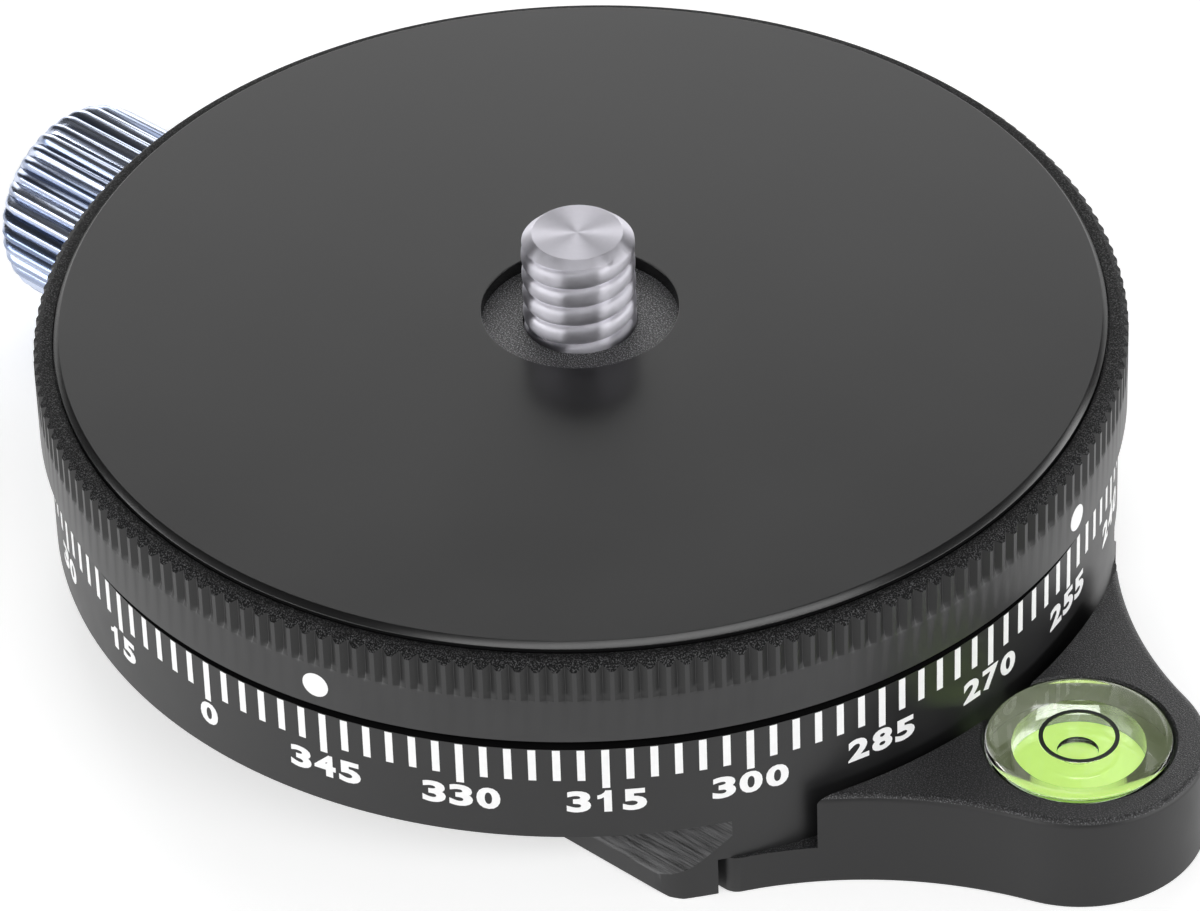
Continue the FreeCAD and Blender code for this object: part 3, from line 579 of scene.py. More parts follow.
class Shape:
    """A mesh in the making, in millimetres."""

    def __init__(self) -> None:
        """Start empty."""
        self.mesh = bmesh.new()

    @property
    def everything(self) -> list[Vert | Edge | Face]:
        """All vertices, edges and faces."""
        return [*self.mesh.verts, *self.mesh.edges, *self.mesh.faces]

    def loop(self, points: Iterable[Vector], closed: bool = True) -> list[Vert | Edge]:
        """Lay vertices joined by edges.

        Args:
            points: where they are.
            closed: whether the last joins the first.

        Returns:
            The vertices and the edges.
        """
        verts = [self.mesh.verts.new(point) for point in points]
        ends = verts[1:] + verts[:1] if closed else verts[1:]
        return verts + [self.mesh.edges.new(pair) for pair in zip(verts, ends)]

    def plate(self, points: Iterable[Vector]) -> list[Face]:
        """Fill a closed outline; the new face comes back alone in a list."""
        return bmesh.ops.edgeloop_fill(self.mesh, edges=only(Edge, self.loop(points)))["faces"]

    def sweep(self, geom: list[Vert | Edge | Face], angle: float, steps: int,
              centre: Point = (0.0, 0.0), **options: object) -> "Shape":
        """Turn some of the mesh round an upright axis.

        Args:
            geom: what is turned.
            angle: how far, in radians.
            steps: faces along the way.
            centre: where the axis stands.
            **options: the spin operator's other settings.

        Returns:
            This shape.
        """
        bmesh.ops.spin(self.mesh, geom=geom, cent=(*centre, 0.0), axis=(0, 0, 1), angle=angle, steps=steps,
                       **options)
        return self

    def lathe(self, profile: Iterable[Point], steps: int, centre: Point = (0.0, 0.0)) -> "Shape":
        """Turn a closed outline of (radius, height) all round an upright axis."""
        geom = self.loop(Vector((centre[0] + r, centre[1], z)) for r, z in profile)
        return self.sweep(geom, TURN, steps, centre, use_merge=True)

    def rod(self, radius: float, low: float, high: float, steps: int = Steps.HOLE,
            centre: Point = (0.0, 0.0)) -> "Shape":
        """An upright round rod from low to high."""
        return self.lathe([(0, low), (radius, low), (radius, high), (0, high)], steps, centre)

    def raised(self, faces: list[Face], rise: float) -> "Shape":
        """Raise flat faces into solids.

        Args:
            faces: the faces.
            rise: how far, along Z.

        Returns:
            This shape.
        """
        made = bmesh.ops.extrude_face_region(self.mesh, geom=faces, use_keep_orig=True)["geom"]
        bmesh.ops.translate(self.mesh, verts=only(Vert, made), vec=(0, 0, rise))
        return self

    def prism(self, points: Iterable[Point], low: float, high: float) -> "Shape":
        """Raise a level outline into a solid from low to high."""
        return self.raised(self.plate(Vector((x, y, low)) for x, y in points), high - low)

    def round_level(self, height: float, width: float, steps: int) -> None:
        """Round the edges that lie level at a height.

        Args:
            height: where they are.
            width: how far the rounding reaches.
            steps: faces across it.
        """
        edges = [edge for edge in self.mesh.edges
                 if all(abs(vert.co.z - height) < WELD for vert in edge.verts)]
        bmesh.ops.bevel(self.mesh, geom=edges, offset=width, offset_type="OFFSET", segments=steps,
                        profile=0.5, affect="EDGES", material=-1, clamp_overlap=True)

    def tidy(self) -> "Shape":
        """Merge doubles and turn the faces outwards.

        Returns:
            This shape.
        """
        bmesh.ops.remove_doubles(self.mesh, verts=self.mesh.verts, dist=WELD)
        bmesh.ops.recalc_face_normals(self.mesh, faces=self.mesh.faces)
        return self

    def turned(self, matrix: Matrix) -> "Shape":
        """Move every vertex by a matrix."""
        bmesh.ops.transform(self.mesh, matrix=matrix, verts=self.mesh.verts)
        return self

    def moved(self, *way: float) -> "Shape":
        """Move every vertex a given way."""
        return self.turned(Matrix.Translation(way))

    def scaled(self, *shares: float) -> "Shape":
        """Scale every vertex along X, Y and Z."""
        return self.turned(Matrix.Diagonal((*shares, 1.0)))

    def bake(self, name: str) -> bpy.types.Mesh:
        """The mesh as one of Blender's own; the shape is used up.

        Args:
            name: the mesh's name.

        Returns:
            The mesh.
        """
        data = bpy.data.meshes.new(name)
        self.mesh.to_mesh(data)
        self.mesh.free()
        return data

    def take(self, data: bpy.types.Mesh) -> None:
        """Lay one of Blender's meshes beside this one, and remove it."""
        self.mesh.from_mesh(data)
        bpy.data.meshes.remove(data)

    def combine(self, how: Join, *tools: "Shape") -> "Shape":
        """Cut, add or intersect with other shapes.

        Args:
            how: what is done.
            *tools: the other shapes, which are used up.

        Returns:
            This shape.
        """
        blank, *others = [new_object("step", shape.tidy().bake("step")) for shape in (self, *tools)]
        for other in others:
            step = blank.modifiers.new("step", "BOOLEAN")
            step.operation = how.value
            step.solver = "EXACT"
            step.object = other
        graph = bpy.context.evaluated_depsgraph_get()
        result = bpy.data.meshes.new_from_object(blank.evaluated_get(graph))
        self.mesh = bmesh.new()
        self.take(result)
        for item in (blank, *others):
            bpy.data.objects.remove(item)
        return self

    def paint_where(self, index: int, chosen: Callable[[Face, Vector], bool]) -> None:
        """Give some faces another of the piece's materials.

        Args:
            index: the material's place.
            chosen: says from a face and its middle whether it gets it.
        """
        for face in self.mesh.faces:
            if chosen(face, face.calc_center_median()):
                face.material_index = index


def finish_piece(shape: Shape, name: str, body: Body, finishes: Iterable[Finish],
                 replaces: tuple[str, ...] = (), sharp: float = 35.0, flats: bool = False) -> None:
    """Turn a shape into a piece of the object, in metres.

    Args:
        shape: the mesh in millimetres, which is used up.
        name: the piece's name.
        body: the body that it moves with.
        finishes: its materials, by face index.
        replaces: the solids that it stands for.
        sharp: degrees past which an edge stays sharp.
        flats: whether large flat faces keep their own shading beside small roundings.
    """
    data = shape.tidy().scaled(MM, MM, MM).bake(name)
    for finish in finishes:
        data.materials.append(finish.material())
    data.shade_smooth()
    data.set_sharp_from_angle(angle=math.radians(sharp))
    piece = new_object(name, data)
    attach(piece, body.value)
    if replaces:
        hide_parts(*replaces)
    if flats:
        piece.modifiers.new("normals", "WEIGHTED_NORMAL").keep_sharp = True
    log.info("%s: %d faces on %s", name, len(data.polygons), body.value)


# ---------------- knurling

@dataclass(frozen=True)
class Flutes:
    """Straight grooves all round a disc or a knob."""

    count: int
    crest: float                # radius over the ridges
    root: float                 # radius in the grooves
    half: tuple[Point, ...]     # from ridge to groove: share of the pitch, share of the depth

    @property
    def pitch(self) -> float:
        """Angle from ridge to ridge."""
        return TURN / self.count

    @property
    def columns(self) -> int:
        """Faces across one pitch."""
        return 2 * (len(self.half) - 1)

    def column(self, angle: float) -> Point:
        """Where a column goes that an even sweep has left at an angle.

        Args:
            angle: the column's angle from the ridge, in radians.

        Returns:
            Its angle in the groove's section, and its radius.
        """
        place = round(angle / self.pitch * self.columns)
        share, depth = self.half[abs(place)]
        return math.copysign(share * self.pitch, place), self.crest - (self.crest - self.root) * depth

    def turn(self, profile: Iterable[Point], place: Callable[[Point, float], Point]) -> Shape:
        """Turn an outline into a fluted solid.

        The outline is swept across one pitch, its columns are set to the groove's section, and the
        strip is repeated all round.

        Args:
            profile: the closed outline of (radius, height).
            place: gives a point of the outline its place in a column, from the column's radius.

        Returns:
            The solid.
        """
        shape = Shape()
        geom = shape.loop(Vector((r, 0, z)) for r, z in profile)
        shape.turned(Matrix.Rotation(-self.pitch / 2, 4, "Z")).sweep(geom, self.pitch, self.columns)
        for vert in shape.mesh.verts:
            radius = vert.co.xy.length
            if radius > WELD:
                angle, reach = self.column(math.atan2(vert.co.y, vert.co.x))
                out, height = place((radius, vert.co.z), reach)
                vert.co = (out * math.cos(angle), out * math.sin(angle), height)
        shape.sweep(shape.everything, TURN * (1 - 1 / self.count), self.count - 1, use_duplicate=True)
        return shape.tidy()


# ---------------- turntable

@dataclass
class Turntable:
    """Knurled disc, its pad, the index dots and the seat round the camera stud."""

    foot: float = 12.0
    top: float = 17.41
    seat: float = 17.15
    band_radius: float = 30.46
    band_top: float = 14.82
    runout: tuple[Point, ...] = ((0.16, 0.3), (0.33, 0.68), (0.52, 0.93), (0.68, 1.0))  # rise, share of depth
    foot_edge: Point = (0.16, 0.2)
    rim_radius: float = 30.0
    pad_wall: float = 29.36
    recess_radius: float = 11.25
    recess_top: float = 13.0
    head_radius: float = 4.55
    head_top: float = 14.2
    bore: float = 3.2
    edge_round: float = 0.05
    flutes: Flutes = Flutes(count=192, crest=30.46, root=30.2,
                            half=((0.0, 0.0), (0.12, 0.0), (0.155, 0.08), (0.485, 1.0), (0.5, 1.0)))
    chamfer_lean: float = 0.5       # faces that look up more than this are the rim's chamfer
    # the grooves' walls picked by groove_lean get painted shade
    groove_lean: float = 0.25       # faces that look aside more than this are the grooves' walls
    pad_radius: float = 29.3
    pad_top: float = 17.95
    pad_wall_top: float = 17.61
    pad_face: float = 29.0
    pad_hole: float = 5.5
    # the pad's edge faces picked by edge_lean get painted shade
    edge_lean: float = 0.8          # faces that look up less than this are the pad's edge
    dot_radius: float = 0.775
    dot_height: float = 13.6
    dot_steps: int = 32
    dot_labels: tuple[float, ...] = (345.0, 255.0, 165.0, 75.0)

    def wall_height(self, radius: float) -> float:
        """How high the wall reaches under the rim's chamfer, at a radius."""
        return self.top - (radius - self.rim_radius)

    def disc(self) -> None:
        """The disc: its grooves run out above the band and cut through the rim's chamfer."""
        runout = [(self.band_top + rise, share) for rise, share in self.runout]
        crest, chamfer_low = self.flutes.crest, self.wall_height(self.flutes.crest)
        side, rise = self.foot_edge
        corners = [
            Corner(self.recess_radius, self.foot), Corner(self.band_radius - side, self.foot),
            Corner(self.band_radius, self.foot + rise), Corner(self.band_radius, self.band_top),
            *[Corner(crest, height) for height, _ in runout],
            Corner(crest, chamfer_low), Corner(self.rim_radius, self.top, self.edge_round),
            Corner(self.pad_wall, self.top, self.edge_round), Corner(self.pad_wall, self.seat),
            Corner(self.bore, self.seat), Corner(self.bore, self.head_top),
            Corner(self.head_radius, self.head_top), Corner(self.head_radius, self.recess_top),
            Corner(self.recess_radius, self.recess_top),
        ]

        def place(spot: Point, radius: float) -> Point:
            """Groove the wall between the band and the rim.

            Args:
                spot: a point of the outline.
                radius: the column's radius.

            Returns:
                The point's place in the column.
            """
            for height, share in runout:
                if abs(spot[1] - height) < WELD:
                    return self.band_radius + (radius - self.band_radius) * share, height
            if abs(spot[1] - chamfer_low) < WELD:
                return radius, self.wall_height(radius)
            return spot

        shape = self.flutes.turn(outline(corners, steps=2), place)
        shape.paint_where(1, self.on_wall)
        shape.paint_where(2, lambda face, middle: abs(middle.z - self.seat) < WELD)
        # painted shade on the grooves' walls
        shape.paint_where(3, self.in_groove)
        # painted shade: the band's lower chamfer and the disc's underside get the gap's painted black
        shape.paint_where(4, lambda face, middle: middle.z < self.foot + rise)
        finish_piece(shape, "knurled_disc", Body.PAN_TOP,
                     (RIM_BLACK, KNURL_BLACK, SEAT_BLACK, PAINTED_GROOVE_SHADE, PAINTED_GAP_SHADE), ("turntable",),
                     sharp=24.0, flats=True)

    def on_wall(self, face: Face, middle: Vector) -> bool:
        """Whether a face lies on the disc's outer wall, under the rim's chamfer."""
        chamfer = middle.z > self.wall_height(self.flutes.crest) and face.normal.z > self.chamfer_lean
        return middle.xy.length > self.rim_radius - WELD and middle.z < self.top - WELD and not chamfer

    def in_groove(self, face: Face, middle: Vector) -> bool:
        """Whether a face is a wall of the knurl's grooves, which get painted shade."""
        aside = abs(face.normal.xy.cross(middle.xy.normalized())) > self.groove_lean
        return aside and middle.xy.length > self.rim_radius and self.band_top < middle.z < self.top

    def pad(self) -> None:
        """Rubber pad with a broken edge."""
        corners = [
            Corner(self.pad_hole, self.seat), Corner(self.pad_radius, self.seat),
            Corner(self.pad_radius, self.pad_wall_top, self.edge_round),
            Corner(self.pad_face, self.pad_top, self.edge_round),
            Corner(self.pad_hole, self.pad_top, self.edge_round),
        ]
        shape = Shape().lathe(outline(corners, steps=3), Steps.DISC).tidy()
        # the pad's edge is painted darker as shade
        shape.paint_where(1, lambda face, middle: face.normal.z < self.edge_lean)
        finish_piece(shape, "pad_disc", Body.PAN_TOP, (PAD_BLACK, PAINTED_PAD_EDGE_SHADE), ("top_pad",),
                     flats=True)

    def dots(self) -> None:
        """Four round index dots on the band."""
        shape = Shape()
        for label in self.dot_labels:
            spot = Shape()
            bmesh.ops.create_circle(spot.mesh, cap_ends=True, segments=self.dot_steps, radius=self.dot_radius)
            wrap_on_wall(shape, spot, self.band_radius, label, self.dot_height)
        finish_piece(shape, "index_dots", Body.PAN_TOP, (SCALE_WHITE,))

    def build(self) -> None:
        """Make every piece of the turntable."""
        self.disc()
        self.pad()
        self.dots()


# ---------------- printed marks

INK = 0.02                  # thickness of a printed mark
INK_SUNK = 0.3              # share of it that lies in the wall
SCALE_TURN = -0.93          # degrees that the scale is turned from the foot's axis
SCALE_ZERO = 270.0          # label at +X


def wrap_on_wall(target: Shape, mark: Shape, radius: float, label: float, height: float) -> None:
    """Lay a flat mark on an upright round wall, as a thin raised plate.

    Args:
        target: the shape that takes it.
        mark: the mark in the plane of X and Y, read from +Z, which is used up.
        radius: the wall's radius.
        label: where its origin goes on the scale, which runs clockwise seen from above.
        height: the height of its origin.
    """
    angle = math.radians(SCALE_ZERO - label + SCALE_TURN)
    for vert in mark.raised(list(mark.mesh.faces), INK).mesh.verts:
        turn = angle + vert.co.x / radius
        reach = radius + vert.co.z - INK * INK_SUNK
        vert.co = (reach * math.cos(turn), reach * math.sin(turn), height + vert.co.y)
    target.take(mark.bake("mark"))


@dataclass
class Scale:
    """The printed scale round the drum."""

    radius: float = DRUM_RADIUS
    tick_count: int = 144
    tick_width: float = 0.42
    tick_top: float = 11.2
    short_foot: float = 9.1
    long_foot: float = 8.55
    number_every: int = 6
    number_height: float = 1.49
    number_foot: float = 6.88
    digit_width: float = 1.3
    digit_step: float = 1.5
    boldness: float = 0.04
    curve_steps: int = 4
    one: tuple[Point, ...] = ((-0.15, 0.0), (0.27, 0.0), (0.27, 1.49), (-0.06, 1.49), (-0.14, 1.34),
                              (-0.29, 1.22), (-0.5, 1.15), (-0.5, 0.89), (-0.31, 0.93), (-0.15, 1.02))

    def label(self, index: int) -> float:
        """The label of a tick, in degrees."""
        return index * 360.0 / self.tick_count

    def ticks(self) -> None:
        """One thin plate for each tick, longer at each number."""
        shape = Shape()
        for index in range(self.tick_count):
            foot = self.short_foot if index % self.number_every else self.long_foot
            tick = Shape()
            bmesh.ops.create_grid(tick.mesh, x_segments=1, y_segments=1, size=0.5)
            tick.scaled(self.tick_width, self.tick_top - foot, 1)
            wrap_on_wall(shape, tick, self.radius, self.label(index), (self.tick_top + foot) / 2)
        finish_piece(shape, "scale_ticks", Body.BASE, (SCALE_WHITE,))

    def digit(self, sign: str) -> Shape:
        """One digit as a flat shape, centred, standing on its foot line.

        Args:
            sign: the digit.

        Returns:
            The shape.
        """
        shape = Shape()
        if sign == "1":
            one = shape.plate(Vector((x, y, 0)) for x, y in self.one)
            bmesh.ops.triangulate(shape.mesh, faces=one)
            return shape
        curve = bpy.data.curves.new("digit", "FONT")
        curve.body = sign
        curve.offset = self.boldness
        curve.resolution_u = self.curve_steps
        holder = bpy.data.objects.new("digit", curve)
        shape.take(bpy.data.meshes.new_from_object(holder))
        bpy.data.objects.remove(holder)
        bmesh.ops.remove_doubles(shape.mesh, verts=shape.mesh.verts, dist=WELD)
        across = [vert.co.x for vert in shape.mesh.verts]
        up = [vert.co.y for vert in shape.mesh.verts]
        shape.moved(-(min(across) + max(across)) / 2, -min(up), 0)
        return shape.scaled(self.digit_width / (max(across) - min(across)),
                            self.number_height / (max(up) - min(up)), 0)

    def numbers(self) -> None:
        """The number at every sixth tick, its digits evenly spaced about its middle."""
        shape = Shape()
        for index in range(0, self.tick_count, self.number_every):
            label = self.label(index)
            text = str(round(label))
            row = Shape()
            for place, sign in enumerate(text):
                shift = (place - (len(text) - 1) / 2) * self.digit_step
                row.take(self.digit(sign).moved(shift, 0, 0).bake("digit"))
            wrap_on_wall(shape, row, self.radius, label, self.number_foot)
        finish_piece(shape, "scale_numbers", Body.BASE, (SCALE_WHITE,))

    def build(self) -> None:
        """Make ticks and numbers."""
        self.ticks()
        self.numbers()


# ---------------- stud

@dataclass
class CameraStud:
    """1/4 inch stud with a rolled thread."""

    foot: float = 13.0
    head_radius: float = 4.5
    head_top: float = 14.2
    head_round: float = 0.15
    top: float = 23.15
    pitch: float = 1.27
    start_angle: float = 70.0
    half_section: tuple[Point, ...] = ((2.9, 0.0), (2.92, 0.03), (3.015, 0.09), (3.085, 0.18),
                                       (3.138, 0.31), (3.162, 0.47), (3.168, 0.635))
    tip_radius: float = 2.58
    tip_slope: float = 1.0
    tip_edge: float = 0.06
    weld: float = 5e-4                          # joins each turn of the thread to the next
    spare_turns: tuple[int, int] = (2, 1)       # of the thread, below and above what is kept
    overrun: Point = (0.1, 0.2)                 # how far the rod goes on below and above

    def rod(self) -> Shape:
        """A threaded rod, longer than the stud at both ends.

        Returns:
            The closed shape.
        """
        shape = Shape()
        turns = math.ceil((self.top - self.head_top) / self.pitch) + sum(self.spare_turns)
        start = self.head_top - self.pitch * self.spare_turns[0]
        section = [*self.half_section, *[(r, self.pitch - z) for r, z in reversed(self.half_section[:-1])]]
        geom = shape.loop([Vector((r, 0, start + z)) for r, z in section], closed=False)
        shape.sweep(geom, TURN * turns, Steps.SMALL * turns, dvec=(0, 0, self.pitch / Steps.SMALL))
        bmesh.ops.remove_doubles(shape.mesh, verts=shape.mesh.verts, dist=self.weld)
        for height, above in ((self.head_top - self.overrun[0], True), (self.top + self.overrun[1], False)):
            bmesh.ops.bisect_plane(shape.mesh, geom=shape.everything, dist=WELD, plane_co=(0, 0, height),
                                   plane_no=(0, 0, 1), clear_outer=not above, clear_inner=above)
        rims = [edge for edge in shape.mesh.edges if edge.is_boundary]
        bmesh.ops.holes_fill(shape.mesh, edges=rims, sides=0)
        return shape.turned(Matrix.Rotation(math.radians(self.start_angle), 4, "Z"))

    def build(self) -> None:
        """Trim the threaded rod to the tip's cone and add the head."""
        beyond = self.half_section[-1][0] + self.overrun[1]
        cone_foot = self.top - (beyond - self.tip_radius) / self.tip_slope
        envelope = Shape().lathe([
            (0, self.foot), (beyond, self.foot), (beyond, cone_foot),
            (self.tip_radius, self.top - self.tip_edge / 2),
            (self.tip_radius - self.tip_edge, self.top), (0, self.top)], Steps.SMALL)
        corners = [Corner(0.0, self.foot), Corner(self.head_radius, self.foot, self.head_round),
                   Corner(self.head_radius, self.head_top, self.head_round), Corner(0.0, self.head_top)]
        head = Shape().lathe(outline(corners), Steps.SMALL)
        shape = self.rod().combine(Join.KEEP, envelope).combine(Join.ADD, head)
        finish_piece(shape, "threaded_stud", Body.PAN_TOP, (STUD_STEEL,),
                     ("camera_stud",), sharp=25.0)


# ---------------- lock knob

@dataclass
class LockKnob:
    """Fluted aluminium knob on the base's side."""

    start: float = 31.2
    length: float = 10.6
    end_round: float = 1.7
    end_lean: float = 0.85      # faces that look along the axis more than this are turned smooth
    inner_edge: float = 0.3
    bore: float = 2.52
    bore_depth: float = 9.02
    fade_start: float = 1.1     # how far inside the ridges the grooves begin on the rounded end
    fade_reach: float = 0.9     # and over how much they get their depth
    flutes: Flutes = Flutes(count=38, crest=6.0, root=5.66, half=(
        (0.0, 0.0), (0.16, 0.16), (0.26, 0.36), (0.35, 0.57), (0.43, 0.78), (0.5, 1.0)))

    def build(self) -> None:
        """Make the knob along Z, and turn it to lie along -X."""
        crest = self.flutes.crest
        corners = [
            Corner(self.bore, 0.0), Corner(crest - self.inner_edge, 0.0), Corner(crest, self.inner_edge),
            Corner(crest, self.length, self.end_round), Corner(0.0, self.length),
            Corner(0.0, self.bore_depth), Corner(self.bore, self.bore_depth),
        ]

        def place(spot: Point, radius: float) -> Point:
            """Sink the grooves into the wall, and let them fade over the rounded end."""
            wall = min(max((spot[0] - (crest - self.fade_start)) / self.fade_reach, 0.0), 1.0)
            return spot[0] - (crest - radius) * wall, spot[1]

        shape = self.flutes.turn(outline(corners, steps=10), place).turned(lying(self.start, LOCK_HEIGHT))
        shape.mesh.normal_update()
        shape.paint_where(1, lambda face, middle: abs(face.normal.x) > self.end_lean)
        finish_piece(shape, "fluted_knob", Body.LOCK, (KNOB_ALUMINIUM, KNOB_END),
                     ("lock_knob",), sharp=50.0)


# ---------------- level

@dataclass
class LevelBracket:
    """Blasted bracket with the round level in its nose."""

    foot: float = 0.05
    tongue_top: float = 2.55
    top: float = 6.08
    tongue_start: float = 18.3
    half_width: float = 16.55
    tongue_corner: float = 1.0
    nose: Point = (35.8, 0.0)
    nose_radius: float = 7.0
    nose_steps: int = 48
    flare_radius: float = 24.2
    flare_angle: float = 71.7
    flare_steps: int = 40
    flare_skip: int = 4             # steps that the tongue's rounded corner takes from it
    drum_room: float = 30.95
    pocket_radius: float = 5.25
    pocket_floor: float = 1.98
    pocket_lip: float = 0.12
    edge_round: float = 0.45
    foot_round: float = 0.15
    grain_reach: float = 0.6        # faces that look up less than this are smooth
    screw_bore: float = 1.6
    screw_sink: float = 1.5
    overcut: float = 1.0
    lip_overcut: float = 0.1
    shell_radius: float = 5.13
    base_top: float = 2.58
    shell_top: float = 6.28
    shell_round: float = 0.5
    chamber_radius: float = 3.65
    chamber_top: float = 5.18
    ring_radius: float = 2.2
    ring_width: float = 0.25
    ring_depth: float = 0.12
    wetting: float = 0.01           # how far the fluid reaches into the shell, and both over the floor
    bubble_place: Point = (0.3, -0.47)
    bubble_radius: float = 1.15
    bubble_flatness: float = 0.5

    def plan(self) -> list[Point]:
        """The bracket's outline from above: straight tongue, hollow flares and round nose.

        Returns:
            The points in order.
        """
        angle = math.radians(self.flare_angle)
        reach = self.nose_radius + self.flare_radius
        centre = (self.nose[0] + reach * math.cos(angle), reach * math.sin(angle))
        start = math.degrees(math.asin((self.half_width - centre[1]) / self.flare_radius))
        flare = arc(centre, self.flare_radius, -180 - start, -180 + self.flare_angle, self.flare_steps)
        nose = arc(self.nose, self.nose_radius, self.flare_angle, -self.flare_angle, self.nose_steps)
        kept = flare[self.flare_skip + 1:]
        half = [Corner(self.tongue_start, self.half_width, self.tongue_corner),
                Corner(flare[0][0], self.half_width, self.tongue_corner), Corner(*flare[self.flare_skip])]
        back = outline([Corner(c.x, -c.y, c.round) for c in reversed(half)] + half, steps=6)
        return back + kept + nose[1:-1] + [(x, -y) for x, y in reversed(kept)]

    def bracket(self) -> None:
        """Raise the outline, round its edges, and cut the drum's room, the pocket and the holes."""
        shape = Shape().prism(self.plan(), self.foot, self.top).tidy()
        shape.round_level(self.top, self.edge_round, steps=5)
        shape.round_level(self.foot, self.foot_round, steps=2)
        over = self.top + self.overcut
        room = Shape().rod(self.drum_room, self.tongue_top, over, Steps.DISC)
        wide = self.pocket_radius + self.pocket_lip + self.lip_overcut
        pocket = Shape().lathe([
            (0, self.pocket_floor), (self.pocket_radius, self.pocket_floor),
            (self.pocket_radius, self.top - self.pocket_lip), (wide, self.top + self.lip_overcut),
            (wide, over), (0, over)], Steps.LEVEL, self.nose)
        sunk = self.screw_bore + self.screw_sink
        holes = [Shape().lathe([
            (0, -self.overcut), (sunk, -self.overcut), (sunk, self.foot),
            (self.screw_bore, self.foot + self.screw_sink), (self.screw_bore, self.top),
            (0, self.top)], Steps.HOLE, spot) for spot in BRACKET_SCREWS]
        shape.combine(Join.CUT, room, pocket, *holes).tidy()
        shape.paint_where(1, lambda face, middle: face.normal.z < self.grain_reach)
        finish_piece(shape, "bracket_arm", Body.BASE, (BRACKET_TOP, BRACKET_WALL),
                     ("level_bracket",), sharp=40.0, flats=True)

    def vial(self) -> None:
        """The level's clear shell, its floor, fluid with a bubble, and centring ring."""
        nose = Vector(self.nose)
        ring_in = self.ring_radius - self.ring_width
        ring_floor = self.shell_top - self.ring_depth
        floor = Shape().lathe([
            (0, self.pocket_floor), (self.shell_radius, self.pocket_floor),
            (self.shell_radius, self.base_top), (self.chamber_radius, self.base_top),
            (0, self.base_top)], Steps.SMALL, self.nose).tidy()
        # the floor's ring outside the chamber gets painted shade, painted reflection and a painted glow
        floor.paint_where(1, lambda face, middle: (middle.xy - nose).length > self.chamber_radius)
        finish_piece(floor, "level_floor", Body.BASE, (VIAL_FLOOR_PAINTED_GLOW, VIAL_RIM_PAINTED_LIGHT), ("vial_base",))
        bottom = self.base_top + self.wetting
        corners = [
            Corner(self.chamber_radius, bottom), Corner(self.shell_radius, bottom),
            Corner(self.shell_radius, self.shell_top, self.shell_round),
            Corner(self.ring_radius, self.shell_top), Corner(self.ring_radius, ring_floor),
            Corner(ring_in, ring_floor), Corner(ring_in, self.shell_top), Corner(0, self.shell_top),
            Corner(0, self.chamber_top), Corner(self.chamber_radius, self.chamber_top),
        ]
        shell = Shape().lathe(outline(corners, steps=8), Steps.LEVEL, self.nose)
        finish_piece(shell, "level_shell", Body.BASE, (VIAL_SHELL,), ("vial_body",),
                     flats=True)
        bubble = Shape()
        bmesh.ops.create_uvsphere(bubble.mesh, u_segments=Steps.HOLE, v_segments=Steps.HOLE // 2,
                                  radius=self.bubble_radius)
        bubble.scaled(1, 1, self.bubble_flatness)
        bubble.moved(self.nose[0] + self.bubble_place[0], self.bubble_place[1], self.chamber_top)
        fluid = Shape().rod(self.chamber_radius + self.wetting, bottom, self.chamber_top + self.wetting,
                            Steps.SMALL, self.nose).combine(Join.CUT, bubble)
        finish_piece(fluid, "level_fluid", Body.BASE, (VIAL_FLUID,), ("vial_fluid",))
        ring = Shape().lathe([(ring_in, ring_floor), (self.ring_radius, ring_floor),
                              (self.ring_radius, self.shell_top), (ring_in, self.shell_top)],
                             Steps.SMALL, self.nose)
        finish_piece(ring, "level_ring", Body.BASE, (RING_INK,), ("vial_ring",))

    def build(self) -> None:
        """Make the bracket and its level."""
        self.bracket()
        self.vial()


# ---------------- base and inner pieces

